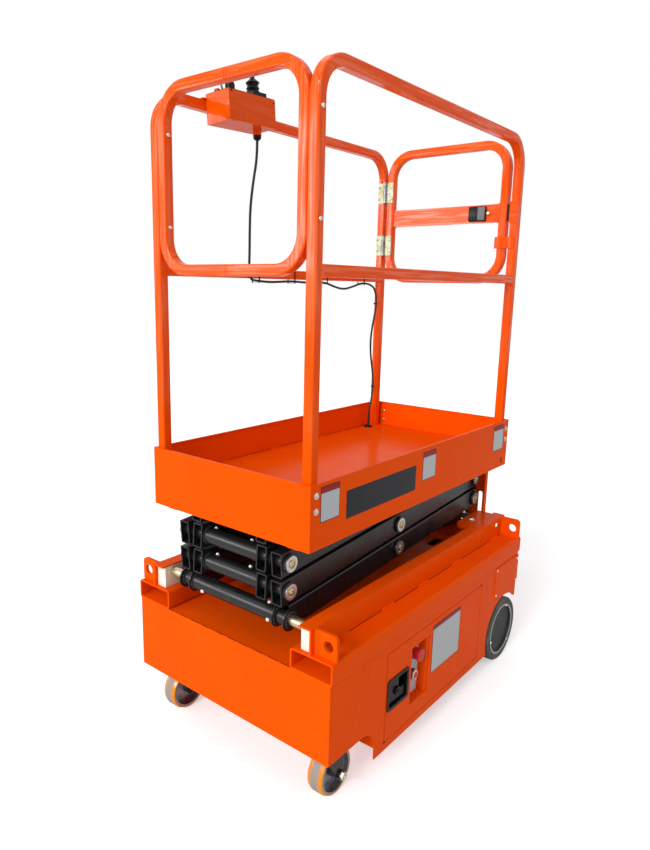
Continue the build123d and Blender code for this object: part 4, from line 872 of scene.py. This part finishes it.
# %% Weld beads on the gate and the guards
gate_welds, guard_welds = bmesh.new(), bmesh.new()
for side in (-1, 1):
    straight_bead(gate_welds, (0.5465, side * 0.2205, 1.630), (0.5465, side * 0.2205, 1.686), 0.0085)
    for z in (1.6275, 1.6895):
        straight_bead(gate_welds, (0.549, side * 0.2195, z), (0.572, side * 0.2195, z), 0.0065)
    seam_y = side * 0.004
    for z in (1.8925, 1.4270):
        straight_bead(guard_welds, (-0.5878, seam_y, z - 0.012), (-0.5878, seam_y, z + 0.012), 0.0032)
    for x in (-0.5555, 0.5435):
        straight_bead(guard_welds, (x, side * 0.2627, 1.4125), (x, side * 0.2627, 1.4415), 0.0042)
    foot_y = side * 0.2790
    for x in (-0.573, 0.561):
        straight_bead(guard_welds, (x - 0.013, foot_y, 0.9140), (x + 0.013, foot_y, 0.9140), 0.004)
    straight_bead(guard_welds, (0.5455, side * 0.2775, 1.795), (0.5455, side * 0.2775, 1.806), 0.0075)
new_piece("gate_bar_welds", gate_welds, "gate", orange_paint)
new_piece("guard_tube_welds", guard_welds, "platform", orange_paint)

# %% [markdown]
# The control box's lid carries a red lamp and a small grey lever beside the joystick, and rivets close the
# box's ends. The lever could be two cylinders, but it is thinner in the middle than at its knob, so one
# turned profile gives it a waist, and its seat leans it over.

# %% Control box fittings
lamp_dome = turned([(0, 0), (0.0100, 0), (0.0100, 0.0040), (0.0085, 0.0085), (0.0045, 0.0110),
                    (0, 0.0115)], 24)
single_piece("box_lamp", lamp_dome, "platform", red_plastic, (-0.3905, 0.2330, 1.9250))
lever = turned([(0, 0), (0.0055, 0), (0.0055, 0.0030), (0.0030, 0.0040), (0.0026, 0.0160), (0.0040, 0.0185),
                (0.0040, 0.0245), (0, 0.0255)])
single_piece("box_toggle", lever, "platform", grey_plastic,
             (-0.3930, 0.2080, 1.9250), (-0.35, 0.1, 0.93))
rivets = bmesh.new()
for y, z in ((0.1715, 1.920), (0.2120, 1.921)):
    domed_head(rivets, (-0.4068, y, z), (-1, 0, 0), 0.0028)
for x, z in ((-0.2215, 1.9205), (-0.3980, 1.9215)):
    domed_head(rivets, (x, 0.1690, z), (0, -1, 0), 0.0030)
new_piece("box_rivets", rivets, "platform", black_plastic)

# %% [markdown]
# Down the post the cable is tied twice more, and a rubber grommet takes it through the deck. A tie could be
# a curve like the cable, but a short band never shows its ends: it is a turned ring with a small block for
# its head. The grommet is one turned profile with a round lip.

# %% Cable ties and the deck grommet
band = [(0.0042, -0.002), (0.0058, -0.002), (0.0058, 0.002), (0.0042, 0.002), (0.0042, -0.002)]
ties = bmesh.new()
for seat in ((0.5265, 0.2705, 1.326), (0.5270, 0.2690, 0.985)):
    put(ties, turned(band), seat)
    put(ties, slab((-0.0035, 0.0045, -0.003), (0.0035, 0.0095, 0.003), 0.0008), seat)
new_piece("post_cable_ties", ties, "platform", black_plastic)
grommet = turned([(0.0045, 0.0100), (0.0070, 0.0100), (0.0100, 0.0070), (0.0150, 0.0055), (0.0165, 0.0030),
                  (0.0165, 0.0), (0.0045, 0.0), (0.0045, 0.0100)], 32)
single_piece("deck_grommet", grommet, "platform", black_plastic, (0.498, 0.266, 0.816))

# %% [markdown]
# The deck sheet is welded to the boards in short runs, and the seam between them stays open. It could be a
# bump in the paint, but a seam is seen along its whole length from above, so its shade is painted as a row
# of thin dark strips in the corner.

# %% Painted shade in the open seams along the deck
open_seam_shade = bmesh.new()
for start, end in ((-0.560, -0.330), (-0.290, -0.080), (-0.030, 0.205), (0.235, 0.345), (0.375, 0.585)):
    for side in (-1, 1):
        put(open_seam_shade, slab((start, side * 0.2957, 0.8160), (end, side * 0.2970, 0.8168)))
new_piece("deck_open_seam_shade", open_seam_shade, "platform", shadow_line)

# %% [markdown]
# The stage is a pale floor. More light could bleach it, but the object would bleach with it. So the floor
# keeps its plain pale colour, which takes the object's shadow, and a little glow that only the camera's
# rays meet makes it read as white.

# %% Floor
def ray_is(tree, kind):
    """1 for rays of one kind and 0 for the others."""
    return Signal(tree).node("ShaderNodeLightPath", {}, {}, f"Is {kind} Ray")


disc = bmesh.new()
bmesh.ops.create_circle(disc, cap_ends=True, segments=96, radius=14)
bmesh.ops.translate(disc, verts=disc.verts, vec=(0, 0, -0.0005))
floor_mesh = bpy.data.meshes.new("floor")
disc.to_mesh(floor_mesh)
disc.free()
floor = add_object("floor", floor_mesh)
pale = bpy.data.materials.new("pale_floor")
pale.use_nodes = True
tree = pale.node_tree
tree.nodes.remove(tree.nodes["Principled BSDF"])
floor_glow = 0.45
diffuse = Signal(tree).node("ShaderNodeBsdfDiffuse", {}, {"Color": (0.82, 0.82, 0.82, 1)})
glow = Signal(tree).node("ShaderNodeEmission", {}, {"Strength": ray_is(tree, "Camera") * floor_glow})
both = diffuse.node("ShaderNodeAddShader", {}, {0: diffuse, 1: glow})
tree.links.new(both.socket, tree.nodes["Material Output"].inputs["Surface"])
floor_mesh.materials.append(pale)
print("floor:", pale.name)

# %% [markdown]
# The world glows evenly. Turned up to white, it would wash out the paint, so it is white only for the rays
# that look at it: the camera's, mirror-like ones, and those that pass through glass. The object gets about
# half of it, which leaves room for the lamps to give it light and shade.

# %% World
studio_light = 0.53
world = bpy.data.worlds.new("studio")
bpy.context.scene.world = world
world.use_nodes = True
sky = world.node_tree
background = sky.nodes["Background"]
background.inputs["Color"].default_value = (1, 1, 1, 1)
clear_or_mirror = ray_is(sky, "Glossy").maths("MAXIMUM", ray_is(sky, "Glossy"), ray_is(sky, "Transmission"))
open_view = clear_or_mirror.maths("MAXIMUM", ray_is(sky, "Camera"), clear_or_mirror)
sky.links.new((studio_light + (1 - studio_light) * open_view).socket, background.inputs["Strength"])
print("world light on the object:", studio_light)

# %% [markdown]
# A large soft sun shines from the caster end, so the end faces are bright and the long side is a step
# darker. One lamp alone would leave that side flat, so a weak second sun fills it, and a soft panel stands
# high off the caster end's far corner, where the glazed tubes mirror it as a pale bloom.

# %% Lamps
def shine(name, kind, direction, power, place=(0, 0, 0), **settings):
    """A lamp of one kind that shines along a direction."""
    data = bpy.data.lights.new(name, kind)
    data.energy = power
    for key, value in settings.items():
        setattr(data, key, value)
    add_object(name, data).matrix_world = Matrix.Translation(place) @ aimed(direction)
    print(name, "at power", power)


panel_place = Vector((-4.2, 3.1, 2.2))
shine("key_lamp", "SUN", (0.88, 0.05, -0.42), 2.35, angle=math.radians(25))
shine("fill_lamp", "SUN", (-0.1, 0.9, -0.5), 0.20, angle=math.radians(40))
shine("end_panel", "AREA", Vector((0, 0, 1.5)) - panel_place, 62, panel_place,
      shape="RECTANGLE", size=1.9, size_y=1.3)
bpy.context.scene.view_settings.view_transform = "Standard"
